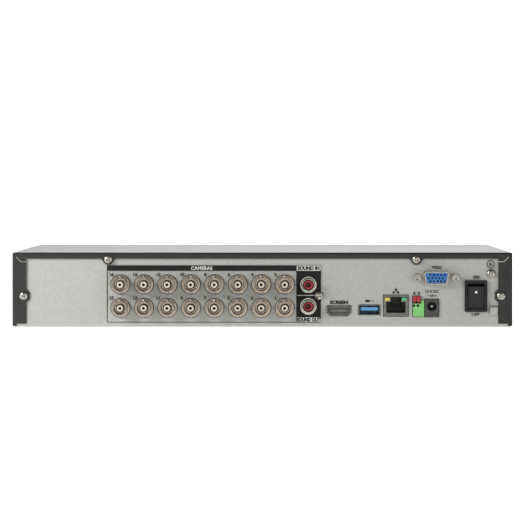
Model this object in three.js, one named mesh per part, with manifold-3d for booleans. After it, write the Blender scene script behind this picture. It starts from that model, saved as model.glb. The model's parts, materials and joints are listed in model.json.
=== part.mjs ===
// A compact 16-channel video recorder: a sheet-steel tray whose rear wall carries the sockets, a bent
// steel cover with a rear flange, a plastic front bezel, and the boards and hard drive inside.
//
// Case frame, in millimetres: x to the right as seen facing the sockets, y from the sockets towards the
// front bezel, z up. y = 0 is the outer face of the rear wall and z = 0 the underside of the tray.

import * as THREE from "three";
import { mergeVertices } from "three/addons/utils/BufferGeometryUtils.js";
import Module from "manifold-3d";

const wasm = await Module();
wasm.setup();

// ---- Driving dimensions ----

const caseWidth = 325;
const caseHeight = 48.6;
const overallDepth = 257; // from the mouths of the coaxial sockets to the face of the bezel
const footHeight = 2.5;

const coverSheet = 0.8;
const traySheet = 1.0;
const bendRadius = 1.5; // outside radius of the bends
const bendSteps = 3;

const sheetGap = 0.3; // between cover and tray, and between bezel and case
const seatGap = 0.1; // under heads and flanges that seat on a face
const holeGap = 0.3; // all round a piece that passes through a hole
const slideGap = 0.2; // beside a piece that moves
const housingGap = 0.6; // between a screw's shank and a housing beside it

const flange = {
  topHeight: 4.15,
  sideWidth: 9.3,
  bottom: 2.3, // where the side flanges end above the underside
  lobeRadius: 3.65,
  lobeFlare: 2.2,
  topLobeHalfWidth: 4.8,
  sideLobeHalfWidth: 4.4,
};
const cornerSlit = { width: 0.8, drop: 6.1, bendFromEdge: 5.6, tipFromEdge: 2.5, tipDrop: 3.0 };
const coverBottom = 0.7;
const floorVents = { count: 8, pitch: 10, width: 3, left: 46, rear: 60, length: 32 };
const sideVents = { count: 14, width: 2.2, height: 24, pitch: 6, fromRear: 70, bottom: 12 };

const screw = {
  headRadius: 2.8, headHeight: 2.0, shankRadius: 1.45, shankLength: 6,
  recessWidth: 0.8, recessSpan: 3.2, recessDepth: 1.0,
};
const topScrewFromSide = 62.5;
const topScrewFromTop = 4.5;
const sideScrewFromSide = 7.5;
const sideScrewHeight = 20.4;
const groundScrew = { fromRight: 14.0, fromTop: 13.7 };
const tieBridge = { fromRight: 12.2, width: 4.8, bottom: 7.5, height: 6.4, reach: 2.0, foot: 0.4 };

const board = { thickness: 1.6, underside: 4.8, rear: 3.6, leftMargin: 10.9, fromRight: 32.5 };
const standoff = { radius: 2.6, sideInset: 6, rearInset: 8, frontInset: 6 };
const collar = 2.0; // how far socket sleeves reach behind the rear wall

const bnc = {
  columns: 8, pitch: 15.24, lastFromRight: 147.92, lowerRow: 12.5,
  reach: 11, mouthRadius: 4.83, boreRadius: 4.05, boreFloor: 3.0, throatRadius: 3.0,
  neckRadius: 5.2, flangeRadius: 6.35, flangeThickness: 1.8,
  lugRadius: 1.0, lugReach: 5.5, lugFromMouth: 4.8,
  noseRadius: 2.35, noseBore: 1.1, noseSetback: 1.4, contactDepth: 8, housingDepth: 25, sides: 12,
    noseSides: 8,
};
const audio = {
  besideRow: 1.2, lowerRow: 13.6, pitch: 14, reach: 9.5, sleeveRadius: 4.15, flangeRadius: 5.5,
  flangeThickness: 1.1, insertRadius: 3.4, insertSetback: 0.3, boreRadius: 1.65, boreDepth: 9,
  housingWidth: 13, housingDepth: 16, screwOffset: 6.9, earWidth: 4.4, earHeight: 7.5, earDepth: 7,
};
const videoSocket = {
  fromRight: 112.7, height: 10.6, width: 15.5, tall: 6.6, cornerCut: 2.45, wall: 0.45, proud: 0.6,
  depth: 12, tongueWidth: 11.6, tongueThickness: 1.2, tongueSetback: 1.6,
};
const usb = {
  fromRight: 93.0, height: 11.2, width: 13.7, tall: 6.3, wall: 0.4, proud: 0.6, depth: 14,
  tongueWidth: 11.2, tongueThickness: 2.1, tongueLift: 0.7, tongueSetback: 0.9,
};
const network = {
  fromRight: 75.75, bottom: 7.1, width: 16.0, tall: 13.7, wall: 0.4, proud: 0.6, depth: 21,
  plugWidth: 12.4, plugBottom: 9.4, plugTall: 7.1, latchWidth: 6.9, latchTall: 3.2, plugDepth: 13,
  lampWidth: 3.9, lampTall: 2.8, lampFromSide: 0.55, lampSetback: 0.6,
};
const terminal = {
  fromRight: 61.1, width: 7.4, bottom: 6.8, top: 17.5, ledge: 15.4, proud: 1.0, depth: 14,
  endWall: 2.25, wireRadius: 0.85, wireHeight: 14.0, wireDepth: 9, wireOffset: 0.4,
};
const terminalButton = { pitch: 2.54, top: 20.2, point: 1.3, proud: 2.2, length: 9.6, travel: 1.2 };
const powerJack = {
  fromRight: 52.4, width: 9.0, bottom: 6.8, tall: 11.3, proud: 1.0, depth: 14, boreHeight: 13.5,
  boreRadius: 3.15, boreDepth: 10, pinRadius: 1.05, pinSetback: 1.5,
};
const monitor = {
  fromRight: 49.5, height: 32.0, width: 16.9, tall: 8.6, corner: 2.4, slant: 0.176, wall: 0.5,
  reach: 5.8, insertSetback: 0.3, plateWidth: 30.8, plateTall: 12.5, plate: 0.8, bodyDepth: 19,
  bodyWidth: 16, bodyTall: 9, legDepth: 3.8, pinPitch: 2.29, rowPitch: 1.98, pinRadius: 0.55, pinDepth: 4,
  nutOffset: 12.495, nutAcross: 4.75, nutLength: 5.0, studRadius: 1.35, nutBore: 1.2,
};
const rocker = {
  fromRight: 23.8, height: 20.2, bezelWidth: 14.7, bezelTall: 20.6, bezelProud: 2.0, bezelCorner: 0.9,
  bodyWidth: 12.8, bodyTall: 18.8, bodyDepth: 13, pocketWidth: 10.8, pocketTall: 16.3, pocketFloor: 7.5,
  pivotDepth: 0.8, paddleWidth: 10.3, restAngle: 12, pinRadius: 0.8, pinLength: 0.7,
  bladeWidth: 4.8, bladeThickness: 0.8, bladeLength: 6, bladePitch: 7, bladeSpread: 6.8,
};

const bezel = { depth: 16, wall: 2.2, face: 2.6, corner: 2.5, edge: 1.6 };
const frontWindow = { fromLeft: 10, fromRight: 55, bottom: 12, tall: 25, thickness: 0.8 };
const lamps = { count: 3, pitch: 7, fromRight: 72, height: 24, radius: 1.2 };
const frontUsb = { fromRight: 32, height: 21, width: 13.2, tall: 5.8, wall: 0.5, setback: 0.4 };
const frontBoard = { fromRight: 14, width: 64, bottom: 10, tall: 24, thickness: 1.6, behindFace: 8.4 };
const hooks = {
  fromSide: 40, lower: 6.5, upper: 37, width: 8, thickness: 1.6, reach: 3.6, barb: 0.8, barbLength: 1.4,
  sideClearance: 1, slotClearance: 0.6,
};
const cableWay = { left: 100, right: 40, bottom: 12, top: 30 }; // through the front wall, from the right

const drive = {
  socketRear: 12, socketFront: 56, socketBottom: 2.5, socketTop: 9, socketDeep: 5,
  length: 147, width: 101.6, tall: 26.1, fromLeft: 12.5, fromFrontWall: 3, bossRadius: 4, bossHeight: 3,
  bossInset: 16, lidInset: 3, lidHeight: 0.8, lidCorner: 6,
};
const heatSink = { size: 45, base: 3, tall: 12, fins: 9, finThickness: 1.2, fromRight: 150 };
const processor = { size: 27, tall: 2 };
const converters = { count: 4, size: 10, tall: 1.4, fromLeft: 20, behindSockets: 10 };
const memoryChips = { count: 4, width: 9, depth: 11, tall: 1.1, pitch: 14, besideSink: 36, firstBack: 21 };
const capacitors = { count: 5, radius: 4, tall: 10, pitch: 11, fromRight: 90, behindEdge: 20 };
const coils = { count: 2, size: 12, tall: 5, pitch: 16, fromRight: 84, behindEdge: 40 };
const driveSocket = { fromDrive: 34, width: 18, depth: 6, tall: 7, behindEdge: 8 };
const frontSocket = { fromRight: 62, width: 14, depth: 5, tall: 6, behindEdge: 6 };
const leadSocket = { fromRight: 44, width: 10, depth: 8, tall: 8, behindSockets: 16 };
const foot = { radius: 7, taper: 0.6, stemRadius: 1.7, stemLength: 3.2, rearInset: 64, frontInset: 30,
  sideInset: 30 };

// ---- Derived places ----

const caseDepth = overallDepth - bnc.reach;
const halfWidth = caseWidth / 2;
const trayHalfWidth = halfWidth - coverSheet - sheetGap;
const trayTop = caseHeight - coverSheet - sheetGap;
const bezelRear = caseDepth - bezel.depth;
const trayFront = bezelRear - sheetGap;
const trayFrontTop = 42;
const lipHeight = 14;
const boardTop = board.underside + board.thickness;
const sleeveEnd = traySheet + collar;
const driveFront = trayFront - traySheet - drive.fromFrontWall;
const driveRear = driveFront - drive.width;
const driveLeft = -halfWidth + drive.fromLeft;
const driveRight = driveLeft + drive.length;
const boardFront = driveRear - 4;
const fromRight = (distance) => halfWidth - distance;
const bncLeft = fromRight(bnc.lastFromRight) - (bnc.columns - 1) * bnc.pitch;
const boardLeft = bncLeft - board.leftMargin;
const boardRight = fromRight(board.fromRight);
const socketBack = sleeveEnd + bnc.housingDepth;

// ---- Finishes ----

const finish = {
  coverPaint: { color: 0x4b4c48, roughness: 0.6, metalness: 0.2 },
  zincSteel: { color: 0xb3b6b0, roughness: 0.45, metalness: 0.6 },
  nickel: { color: 0xb9b3a6, roughness: 0.3, metalness: 0.9 },
  brightSteel: { color: 0xc9c9c6, roughness: 0.3, metalness: 0.9 },
  darkSteel: { color: 0x77756f, roughness: 0.4, metalness: 0.8 },
  creamPlastic: { color: 0xd8d4c4, roughness: 0.5, metalness: 0 },
  blackPlastic: { color: 0x1c1d1e, roughness: 0.5, metalness: 0 },
  greyPlastic: { color: 0x4b4b48, roughness: 0.5, metalness: 0 },
  redPlastic: { color: 0xc03030, roughness: 0.45, metalness: 0 },
  bluePlastic: { color: 0x2d5fae, roughness: 0.45, metalness: 0 },
  greenPlastic: { color: 0x7dbe73, roughness: 0.5, metalness: 0 },
  smokedWindow: { color: 0x101113, roughness: 0.15, metalness: 0 },
  rubber: { color: 0x161616, roughness: 0.9, metalness: 0 },
  circuitBoard: { color: 0x1f5a3a, roughness: 0.5, metalness: 0.1 },
  aluminium: { color: 0xa9adb0, roughness: 0.4, metalness: 0.9 },
  driveCasting: { color: 0x8f9396, roughness: 0.45, metalness: 0.8 },
  cableJacket: { color: 0x2a2b2d, roughness: 0.7, metalness: 0 },
};

// ---- Solids: three.js geometry made into closed bodies that can be joined and cut ----

function solid(geometry) {
  const bare = new THREE.BufferGeometry();
  bare.setAttribute("position", geometry.getAttribute("position"));
  bare.setIndex(geometry.getIndex());
  const merged = mergeVertices(bare, 1e-4);
  const points = merged.getAttribute("position").array;
  const corners = merged.getIndex().array;
  const triangles = [];
  let volume = 0;
  for (let i = 0; i < corners.length; i += 3) {
    const [a, b, c] = [corners[i], corners[i + 1], corners[i + 2]];
    if (a === b || b === c || c === a) continue; // collapsed at an axis or a seam
    triangles.push(a, b, c);
    const [p, q, r] = [a, b, c].map((k) => new THREE.Vector3().fromArray(points, 3 * k));
    volume += p.dot(q.cross(r));
  }
  if (volume < 0) triangles.reverse(); // turns every face outwards
  return new wasm.Manifold(new wasm.Mesh({
    numProp: 3,
    vertProperties: new Float32Array(points),
    triVerts: new Uint32Array(triangles),
  }));
}

const join = (bodies) => bodies.reduce((whole, body) => whole.add(body));
const cut = (body, tools) => tools.reduce((rest, tool) => rest.subtract(tool), body);
const sides = [-1, 1];
const span = (count) => [...Array(count).keys()];

function box(x0, x1, y0, y1, z0, z1) {
  const geometry = new THREE.BoxGeometry(x1 - x0, y1 - y0, z1 - z0);
  return solid(geometry.translate((x0 + x1) / 2, (y0 + y1) / 2, (z0 + z1) / 2));
}

function rodAlongX(radius, x0, x1, y, z, facets) {
  const geometry = new THREE.CylinderGeometry(radius, radius, x1 - x0, facets).rotateZ(Math.PI / 2);
  return solid(geometry.translate((x0 + x1) / 2, y, z));
}

function rodAlongY(radius, y0, y1, x = 0, z = 0, facets = 16) {
  const geometry = new THREE.CylinderGeometry(radius, radius, y1 - y0, facets);
  return solid(geometry.translate(x, (y0 + y1) / 2, z));
}

function post(radius, z0, z1, x, y, facets = 12) {
  const geometry = new THREE.CylinderGeometry(radius, radius, z1 - z0, facets).rotateX(Math.PI / 2);
  return solid(geometry.translate(x, y, (z0 + z1) / 2));
}

// A body turned about the y axis from points [radius, y]; the outline closes on itself or on the axis
function turned(profile, facets) {
  const points = profile.map(([radius, y]) => new THREE.Vector2(radius, y));
  const closesOnAxis = profile[0][0] === 0 && profile.at(-1)[0] === 0;
  if (!closesOnAxis) points.push(points[0].clone());
  return solid(new THREE.LatheGeometry(points, facets));
}

// A polygon whose corners are rounded by a curve that starts a given reach before each corner
function outline(corners, reach = 0) {
  const points = corners.map(([u, v]) => new THREE.Vector2(u, v));
  if (reach === 0) return new THREE.Shape(points);
  const shape = new THREE.Shape();
  points.forEach((corner, i) => {
    const towards = (other) => other.clone().sub(corner).setLength(reach).add(corner);
    const start = towards(points.at(i - 1));
    const end = towards(points[(i + 1) % points.length]);
    if (i === 0) shape.moveTo(start.x, start.y);
    else shape.lineTo(start.x, start.y);
    shape.quadraticCurveTo(corner.x, corner.y, end.x, end.y);
  });
  shape.closePath();
  return shape;
}

const rectangle = (u0, u1, v0, v1, reach = 0) => outline([[u0, v0], [u1, v0], [u1, v1], [u0, v1]], reach);
const extruded = (shape, length) =>
  new THREE.ExtrudeGeometry(shape, { depth: length, bevelEnabled: false, curveSegments: bendSteps });
const yzToWorld = new THREE.Matrix4().makeBasis(
  new THREE.Vector3(0, 1, 0), new THREE.Vector3(0, 0, 1), new THREE.Vector3(1, 0, 0));

// An outline drawn in (x, z) and run along y
function alongY(shape, y0, y1) {
  return solid(extruded(shape, y1 - y0).rotateX(Math.PI / 2).translate(0, y1, 0));
}

// An outline drawn in (y, z) and run along x
function alongX(shape, x0, x1) {
  return solid(extruded(shape, x1 - x0).applyMatrix4(yzToWorld).translate(x0, 0, 0));
}

// An outline drawn in (x, y) and run along z
function alongZ(shape, z0, z1) {
  return solid(extruded(shape, z1 - z0).translate(0, 0, z0));
}

// A block with its edges along y rounded by one reach, and the edges around its rear or front end by another
function roundedBlock([x0, x1], [y0, y1], [z0, z1], lengthwise, endwise, roundEnd) {
  const [ya, yb] = roundEnd === "rear" ? [y0, y1 + 10] : [y0 - 10, y1];
  return alongY(rectangle(x0, x1, z0, z1, lengthwise), y0, y1)
    .intersect(alongX(rectangle(ya, yb, z0, z1, endwise), x0 - 1, x1 + 1))
    .intersect(alongZ(rectangle(x0, x1, ya, yb, endwise), z0 - 1, z1 + 1));
}

function tube(points, radius, steps) {
  const path = new THREE.CatmullRomCurve3(points.map((point) => new THREE.Vector3(...point)), false,
    "centripetal");
  const section = new THREE.Shape().absarc(0, 0, radius, 0, 2 * Math.PI);
  return solid(new THREE.ExtrudeGeometry(section, { steps, extrudePath: path, curveSegments: 4 }));
}

// ---- The assembly ----

const caseGroup = new THREE.Group();
caseGroup.position.set(0, bnc.reach - overallDepth / 2, footHeight);
const recorder = new THREE.Group();
recorder.add(caseGroup);

function piece(name, body, look, place = [0, 0, 0], tilt = 0) {
  const { vertProperties, triVerts } = body.getMesh();
  const geometry = new THREE.BufferGeometry();
  geometry.setAttribute("position", new THREE.BufferAttribute(vertProperties, 3));
  geometry.setIndex(new THREE.BufferAttribute(triVerts, 1));
  geometry.computeVertexNormals();
  const mesh = new THREE.Mesh(geometry, new THREE.MeshStandardMaterial(look));
  mesh.name = name;
  mesh.position.set(...place);
  mesh.rotation.x = THREE.MathUtils.degToRad(tilt);
  caseGroup.add(mesh);
}

// ---- Places shared by the sheets and what is fixed to them ----

const topScrews = sides.map((side) => [side * (halfWidth - topScrewFromSide), caseHeight - topScrewFromTop]);
const sideScrews = sides.map((side) => [side * (halfWidth - sideScrewFromSide), sideScrewHeight]);
const ground = [fromRight(groundScrew.fromRight), caseHeight - groundScrew.fromTop];
const bncPlaces = span(2 * bnc.columns).map((i) => {
  const column = Math.floor(i / 2); // channels run from right to left, odd ones below
  return [fromRight(bnc.lastFromRight) - column * bnc.pitch, bnc.lowerRow + (i % 2) * bnc.pitch];
});
const audioX = fromRight(bnc.lastFromRight) + bnc.pitch / 2 + audio.besideRow + audio.housingWidth / 2;
const audioRows = [audio.lowerRow, audio.lowerRow + audio.pitch];
const audioScrew = [audioX + audio.screwOffset, audio.lowerRow + audio.pitch / 2];
const videoX = fromRight(videoSocket.fromRight);
const usbX = fromRight(usb.fromRight);
const networkX = fromRight(network.fromRight);
const terminalX = fromRight(terminal.fromRight);
const terminalLeft = terminalX - terminal.width / 2;
const powerX = fromRight(powerJack.fromRight);
const monitorX = fromRight(monitor.fromRight);
const rockerX = fromRight(rocker.fromRight);
const hookPlaces = sides.flatMap((side) =>
  [hooks.lower, hooks.upper].map((height) => [side * (halfWidth - hooks.fromSide), height]));
const frontUsbX = fromRight(frontUsb.fromRight);
const lampPlaces = span(lamps.count).map((i) => fromRight(lamps.fromRight) + i * lamps.pitch);
const bossPlaces = sides.flatMap((along) => sides.map((across) => [
  (driveLeft + driveRight) / 2 + along * (drive.length / 2 - drive.bossInset),
  (driveRear + driveFront) / 2 + across * (drive.width / 2 - drive.bossInset),
]));
const standoffPlaces = [boardLeft + standoff.sideInset, boardRight - standoff.sideInset].flatMap((x) =>
  [socketBack + standoff.rearInset, boardFront - standoff.frontInset].map((y) => [x, y]));
const footPlaces = [foot.rearInset, caseDepth - foot.frontInset].flatMap((y) =>
  sides.map((side) => [side * (halfWidth - foot.sideInset), y]));

const grown = ([x0, x1, z0, z1], by) => rectangle(x0 - by, x1 + by, z0 - by, z1 + by);
const around = (x, z, width, tall) => [x - width / 2, x + width / 2, z - tall / 2, z + tall / 2];

function videoOutline(by) {
  const [halfW, halfT, corner] = [videoSocket.width / 2 + by, videoSocket.tall / 2 + by,
    videoSocket.cornerCut];
  return outline([
    [videoX - halfW + corner, videoSocket.height - halfT],
    [videoX + halfW - corner, videoSocket.height - halfT],
    [videoX + halfW, videoSocket.height - halfT + corner],
    [videoX + halfW, videoSocket.height + halfT],
    [videoX - halfW, videoSocket.height + halfT],
    [videoX - halfW, videoSocket.height - halfT + corner],
  ]);
}

// The D-shaped outline of the monitor socket, wide side up, about its own centre
function monitorOutline(by, dx = 0, dz = 0) {
  const [halfW, halfT] = [monitor.width / 2 + by, monitor.tall / 2 + by];
  const inset = 2 * halfT * monitor.slant;
  return outline([
    [dx - halfW + inset, dz - halfT], [dx + halfW - inset, dz - halfT], [dx + halfW, dz + halfT],
      [dx - halfW, dz + halfT],
  ], monitor.corner + by);
}

// ---- Base tray ----

function trayProfile() {
  const [top, front, sheet, outer, inner] = [trayTop, trayFront, traySheet, bendRadius,
    bendRadius - traySheet];
  const shape = new THREE.Shape();
  shape.moveTo(0, top);
  shape.absarc(outer, outer, outer, Math.PI, 1.5 * Math.PI);
  shape.absarc(front - outer, outer, outer, -Math.PI / 2, 0);
  shape.lineTo(front, trayFrontTop);
  shape.lineTo(front - sheet, trayFrontTop);
  shape.absarc(front - outer, outer, inner, 0, -Math.PI / 2, true);
  shape.absarc(outer, outer, inner, 1.5 * Math.PI, Math.PI, true);
  shape.lineTo(sheet, top);
  return shape;
}

function rearWallCuts() {
  const through = (shape) => alongY(shape, -1, traySheet + 1);
  const hole = (radius, [x, z], facets = 16) => rodAlongY(radius + holeGap, -1, traySheet + 1, x, z, facets);
  const bridgeLeft = fromRight(tieBridge.fromRight) - tieBridge.width / 2;
  return [
    ...bncPlaces.map((place) => hole(bnc.neckRadius, place, bnc.sides)),
    ...audioRows.map((z) => hole(audio.sleeveRadius, [audioX, z])),
    ...[...topScrews, ...sideScrews, ground, audioScrew].map((place) => hole(screw.shankRadius, place, 10)),
    through(videoOutline(holeGap)),
    through(grown(around(usbX, usb.height, usb.width, usb.tall), holeGap)),
    through(grown(around(networkX, network.bottom + network.tall / 2, network.width, network.tall), holeGap)),
    through(grown([terminalLeft, terminalLeft + terminal.width, terminal.bottom, terminal.top], holeGap)),
    through(grown([terminalLeft, terminalLeft + 2 * terminalButton.pitch, terminal.ledge,
      terminalButton.top], holeGap)),
    through(grown([powerX - powerJack.width / 2, powerX + powerJack.width / 2, powerJack.bottom,
      powerJack.bottom + powerJack.tall], holeGap)),
    through(monitorOutline(holeGap, monitorX, monitor.height)),
    ...sides.map((side) => hole(monitor.studRadius, [monitorX + side * monitor.nutOffset, monitor.height],
      10)),
    through(grown(around(rockerX, rocker.height, rocker.bodyWidth, rocker.bodyTall), holeGap)),
    box(bridgeLeft, bridgeLeft + tieBridge.width, -1, traySheet + 1, tieBridge.bottom,
      tieBridge.bottom + tieBridge.height),
  ];
}

// A strip of the rear wall pushed outwards, open at both sides, that a cable tie goes behind
function tieBridgeStrip() {
  const { bottom, height, reach, foot: lap } = tieBridge;
  const [low, high, lowInner, highInner] = [bottom + 1.2, bottom + height - 1.2, bottom + 1.6,
    bottom + height - 1.6];
  const strip = outline([
    [0, bottom - lap], [-reach, low], [-reach, high], [0, bottom + height + lap],
    [traySheet, bottom + height + lap], [traySheet - reach, highInner], [traySheet - reach, lowInner],
    [traySheet, bottom - lap],
  ]);
  const left = fromRight(tieBridge.fromRight) - tieBridge.width / 2;
  return alongX(strip, left, left + tieBridge.width);
}

function baseTray() {
  const [lipStart, lipEnd] = [2 * bendRadius, trayFront - 2 * bendRadius];
  const lips = sides.map((side) => {
    const [inside, outside] = [side * (trayHalfWidth - traySheet), side * trayHalfWidth];
    return box(Math.min(inside, outside), Math.max(inside, outside), lipStart, lipEnd, 0, lipHeight);
  });
  const standoffs = standoffPlaces.map(([x, y]) =>
    post(standoff.radius, traySheet / 2, board.underside - seatGap, x, y, 8));
  const bosses = bossPlaces.map(([x, y]) =>
    post(drive.bossRadius, traySheet / 2, traySheet + drive.bossHeight, x, y, 12));
  const footHoles = footPlaces.map(([x, y]) => post(foot.stemRadius + holeGap, -1, traySheet + 1, x, y, 10));
  const vents = span(floorVents.count).map((i) => {
    const x = i * floorVents.pitch - floorVents.left;
    return box(x, x + floorVents.width, floorVents.rear, floorVents.rear + floorVents.length, -1,
      traySheet + 1);
  });
  const hookSlots = hookPlaces.map(([x, z]) => box(
    x - hooks.width / 2 - hooks.sideClearance, x + hooks.width / 2 + hooks.sideClearance,
    trayFront - traySheet - 1, trayFront + 1,
    z - hooks.barb - hooks.slotClearance, z + hooks.thickness + hooks.slotClearance));
  const cableOpening = box(fromRight(cableWay.left), fromRight(cableWay.right), trayFront - traySheet - 1,
    trayFront + 1,
    cableWay.bottom, cableWay.top);
  const sheet = alongX(trayProfile(), -trayHalfWidth, trayHalfWidth);
  const body = cut(join([sheet, ...lips, ...standoffs, ...bosses]),
    [...rearWallCuts(), ...footHoles, ...vents, ...hookSlots, cableOpening]);
  return body.add(tieBridgeStrip());
}

// ---- Top cover ----

function slitOutline(side) {
  const half = cornerSlit.width / 2;
  const miter = half * Math.tan(Math.PI / 8);
  const diagonal = half / Math.SQRT2;
  const across = (fromEdge) => side * (halfWidth - fromEdge);
  const down = (drop) => caseHeight - drop;
  return outline([
    [across(flange.sideWidth + 4), down(cornerSlit.drop + half)],
    [across(cornerSlit.bendFromEdge - miter), down(cornerSlit.drop + half)],
    [across(cornerSlit.tipFromEdge - diagonal), down(cornerSlit.tipDrop + diagonal)],
    [across(cornerSlit.tipFromEdge + diagonal), down(cornerSlit.tipDrop - diagonal)],
    [across(cornerSlit.bendFromEdge + miter), down(cornerSlit.drop - half)],
    [across(flange.sideWidth + 4), down(cornerSlit.drop - half)],
  ]);
}

// The round lobes that carry the screws, flared at 45 degrees into the flange's straight edge
function flangeLobes(y0, y1) {
  const edgeZ = caseHeight - flange.topHeight;
  const top = topScrews.map(([x, z]) => {
    const [wide, narrow] = [flange.topLobeHalfWidth, flange.topLobeHalfWidth - flange.lobeFlare];
    const flare = outline([[x - wide, edgeZ + 1], [x - wide, edgeZ], [x - narrow, edgeZ - flange.lobeFlare],
      [x + narrow, edgeZ - flange.lobeFlare], [x + wide, edgeZ], [x + wide, edgeZ + 1]]);
    return alongY(flare, y0, y1).add(rodAlongY(flange.lobeRadius, y0, y1, x, z, 20));
  });
  const side = sideScrews.map(([x, z]) => {
    const [wide, narrow] = [flange.sideLobeHalfWidth, flange.sideLobeHalfWidth - flange.lobeFlare];
    const edge = (inwards) => Math.sign(x) * (halfWidth - flange.sideWidth - inwards);
    const flare = outline([[edge(-1), z - wide], [edge(0), z - wide], [edge(flange.lobeFlare), z - narrow],
      [edge(flange.lobeFlare), z + narrow], [edge(0), z + wide], [edge(-1), z + wide]]);
    return alongY(flare, y0, y1).add(rodAlongY(flange.lobeRadius, y0, y1, x, z, 20));
  });
  return [...top, ...side];
}

function topCover() {
  const rear = -seatGap - coverSheet;
  const front = bezelRear - sheetGap;
  const below = -10;
  const outside = roundedBlock([-halfWidth, halfWidth], [rear, front], [below, caseHeight], bendRadius,
    bendRadius, "rear");
  const innerHalf = halfWidth - coverSheet;
  const innerRadius = bendRadius - coverSheet;
  const hollow = roundedBlock([-innerHalf, innerHalf], [rear + coverSheet, front + 1], [below - 1,
    caseHeight - coverSheet],
    innerRadius, innerRadius, "rear");
  const opening = cut(
    box(-halfWidth + flange.sideWidth, halfWidth - flange.sideWidth, rear - 1, rear + coverSheet + 1,
      below - 1,
      caseHeight - flange.topHeight),
    flangeLobes(rear - 2, rear + coverSheet + 2));
  const slits = sides.map((side) => alongY(slitOutline(side), rear - 1, rear + coverSheet + 1));
  const holes = [...topScrews, ...sideScrews].map(([x, z]) =>
    rodAlongY(screw.shankRadius + holeGap, rear - 1, rear + coverSheet + 1, x, z, 12));
  const vents = sides.flatMap((side) => span(sideVents.count).map((i) => {
    const y = sideVents.fromRear + i * sideVents.pitch;
    const [inner, outer] = [side * (innerHalf - 1), side * (halfWidth + 1)];
    return box(Math.min(inner, outer), Math.max(inner, outer), y, y + sideVents.width,
      sideVents.bottom, sideVents.bottom + sideVents.height);
  }));
  const underside = box(-halfWidth - 1, halfWidth + 1, rear - 1, front + 1, below - 2, coverBottom);
  const flangeEnds = sides.map((side) => {
    const [inner, outer] = [side * (halfWidth - flange.sideWidth - 4), side * (halfWidth - 2 * bendRadius)];
    return box(Math.min(inner, outer), Math.max(inner, outer), rear - 1, rear + coverSheet + 1, below,
      flange.bottom);
  });
  return cut(outside, [hollow, opening, ...slits, ...holes, ...vents, underside, ...flangeEnds]);
}

// ---- Screws: pan heads with a cross recess, heads towards -y, seated at y = 0 ----

function panScrew() {
  const { headRadius, headHeight, shankRadius, shankLength, recessWidth, recessSpan, recessDepth } = screw;
  const body = turned([
    [0, -headHeight], [0.55 * headRadius, -headHeight], [0.9 * headRadius, -0.7 * headHeight],
    [headRadius, -0.35 * headHeight], [headRadius, 0], [shankRadius, 0], [shankRadius, shankLength], [0,
      shankLength],
  ], 12);
  const [w, s] = [recessWidth / 2, recessSpan / 2];
  const floor = -headHeight + recessDepth;
  return cut(body, [box(-w, w, -headHeight - 1, floor, -s, s), box(-s, s, -headHeight - 1, floor, -w, w)]);
}

// ---- Coaxial sockets ----

function bncBarrel() {
  const seat = -seatGap;
  const barrel = turned([
    [bnc.boreRadius, -bnc.reach], [bnc.mouthRadius, -bnc.reach], [bnc.mouthRadius,
      seat - bnc.flangeThickness],
    [bnc.flangeRadius, seat - bnc.flangeThickness], [bnc.flangeRadius, seat], [bnc.neckRadius, seat],
    [bnc.neckRadius, sleeveEnd], [bnc.throatRadius, sleeveEnd], [bnc.throatRadius, -bnc.boreFloor],
    [bnc.boreRadius, -bnc.boreFloor],
  ], bnc.sides);
  const lugY = bnc.lugFromMouth - bnc.reach;
  const root = (bnc.boreRadius + bnc.mouthRadius) / 2;
  const lugs = [[root, bnc.lugReach], [-bnc.lugReach, -root]].map(([z0, z1]) => post(bnc.lugRadius, z0, z1,
    0, lugY, 6));
  return join([barrel, ...lugs]);
}

function bncHousing() {
  const front = sleeveEnd + seatGap;
  const half = bnc.pitch / 2;
  const rightmost = fromRight(bnc.lastFromRight);
  const screwClear = -halfWidth + sideScrewFromSide + screw.shankRadius + housingGap;
  const left = Math.max(bncLeft - half, screwClear);
  const block = box(left, rightmost + half, front, socketBack, boardTop + seatGap,
    bnc.lowerRow + bnc.pitch + half);
  const tip = bnc.noseSetback - bnc.reach;
  const nose = turned([
    [0, front + 1], [bnc.noseRadius, front + 1], [bnc.noseRadius, tip], [bnc.noseBore, tip],
    [bnc.noseBore, tip + bnc.contactDepth], [0, tip + bnc.contactDepth],
  ], bnc.noseSides);
  return join([block, ...bncPlaces.map(([x, z]) => nose.translate([x, 0, z]))]);
}

// ---- Audio jacks ----

function audioSleeve() {
  const bore = audio.insertRadius + seatGap;
  return turned([
    [bore, -audio.reach], [audio.sleeveRadius, -audio.reach], [audio.sleeveRadius,
      -seatGap - audio.flangeThickness],
    [audio.flangeRadius, -seatGap - audio.flangeThickness], [audio.flangeRadius, -seatGap],
    [audio.sleeveRadius, -seatGap], [audio.sleeveRadius, sleeveEnd], [bore, sleeveEnd],
  ], 16);
}

function audioInsert() {
  const mouth = audio.insertSetback - audio.reach;
  return turned([
    [0, sleeveEnd], [audio.insertRadius, sleeveEnd], [audio.insertRadius, mouth], [audio.boreRadius, mouth],
    [audio.boreRadius, mouth + audio.boreDepth], [0, mouth + audio.boreDepth],
  ], 16);
}

function audioHousing() {
  const front = sleeveEnd + seatGap;
  const half = audio.housingWidth / 2;
  const block = box(audioX - half, audioX + half, front, front + audio.housingDepth, boardTop + seatGap,
    audioRows[1] + half);
  const ear = box(audioX + half - 1, audioX + half + audio.earWidth, front, front + audio.earDepth,
    audioScrew[1] - audio.earHeight / 2, audioScrew[1] + audio.earHeight / 2);
  const hole = rodAlongY(screw.shankRadius + holeGap, front - 1, front + audio.earDepth + 1, ...audioScrew,
    10);
  return block.add(ear).subtract(hole);
}

// ---- Digital video, USB and network sockets ----

function videoShell() {
  const tubeBody = alongY(videoOutline(0), -videoSocket.proud, videoSocket.depth);
  return tubeBody.subtract(alongY(videoOutline(-videoSocket.wall), -videoSocket.proud - 1,
    videoSocket.depth + 1));
}

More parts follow.
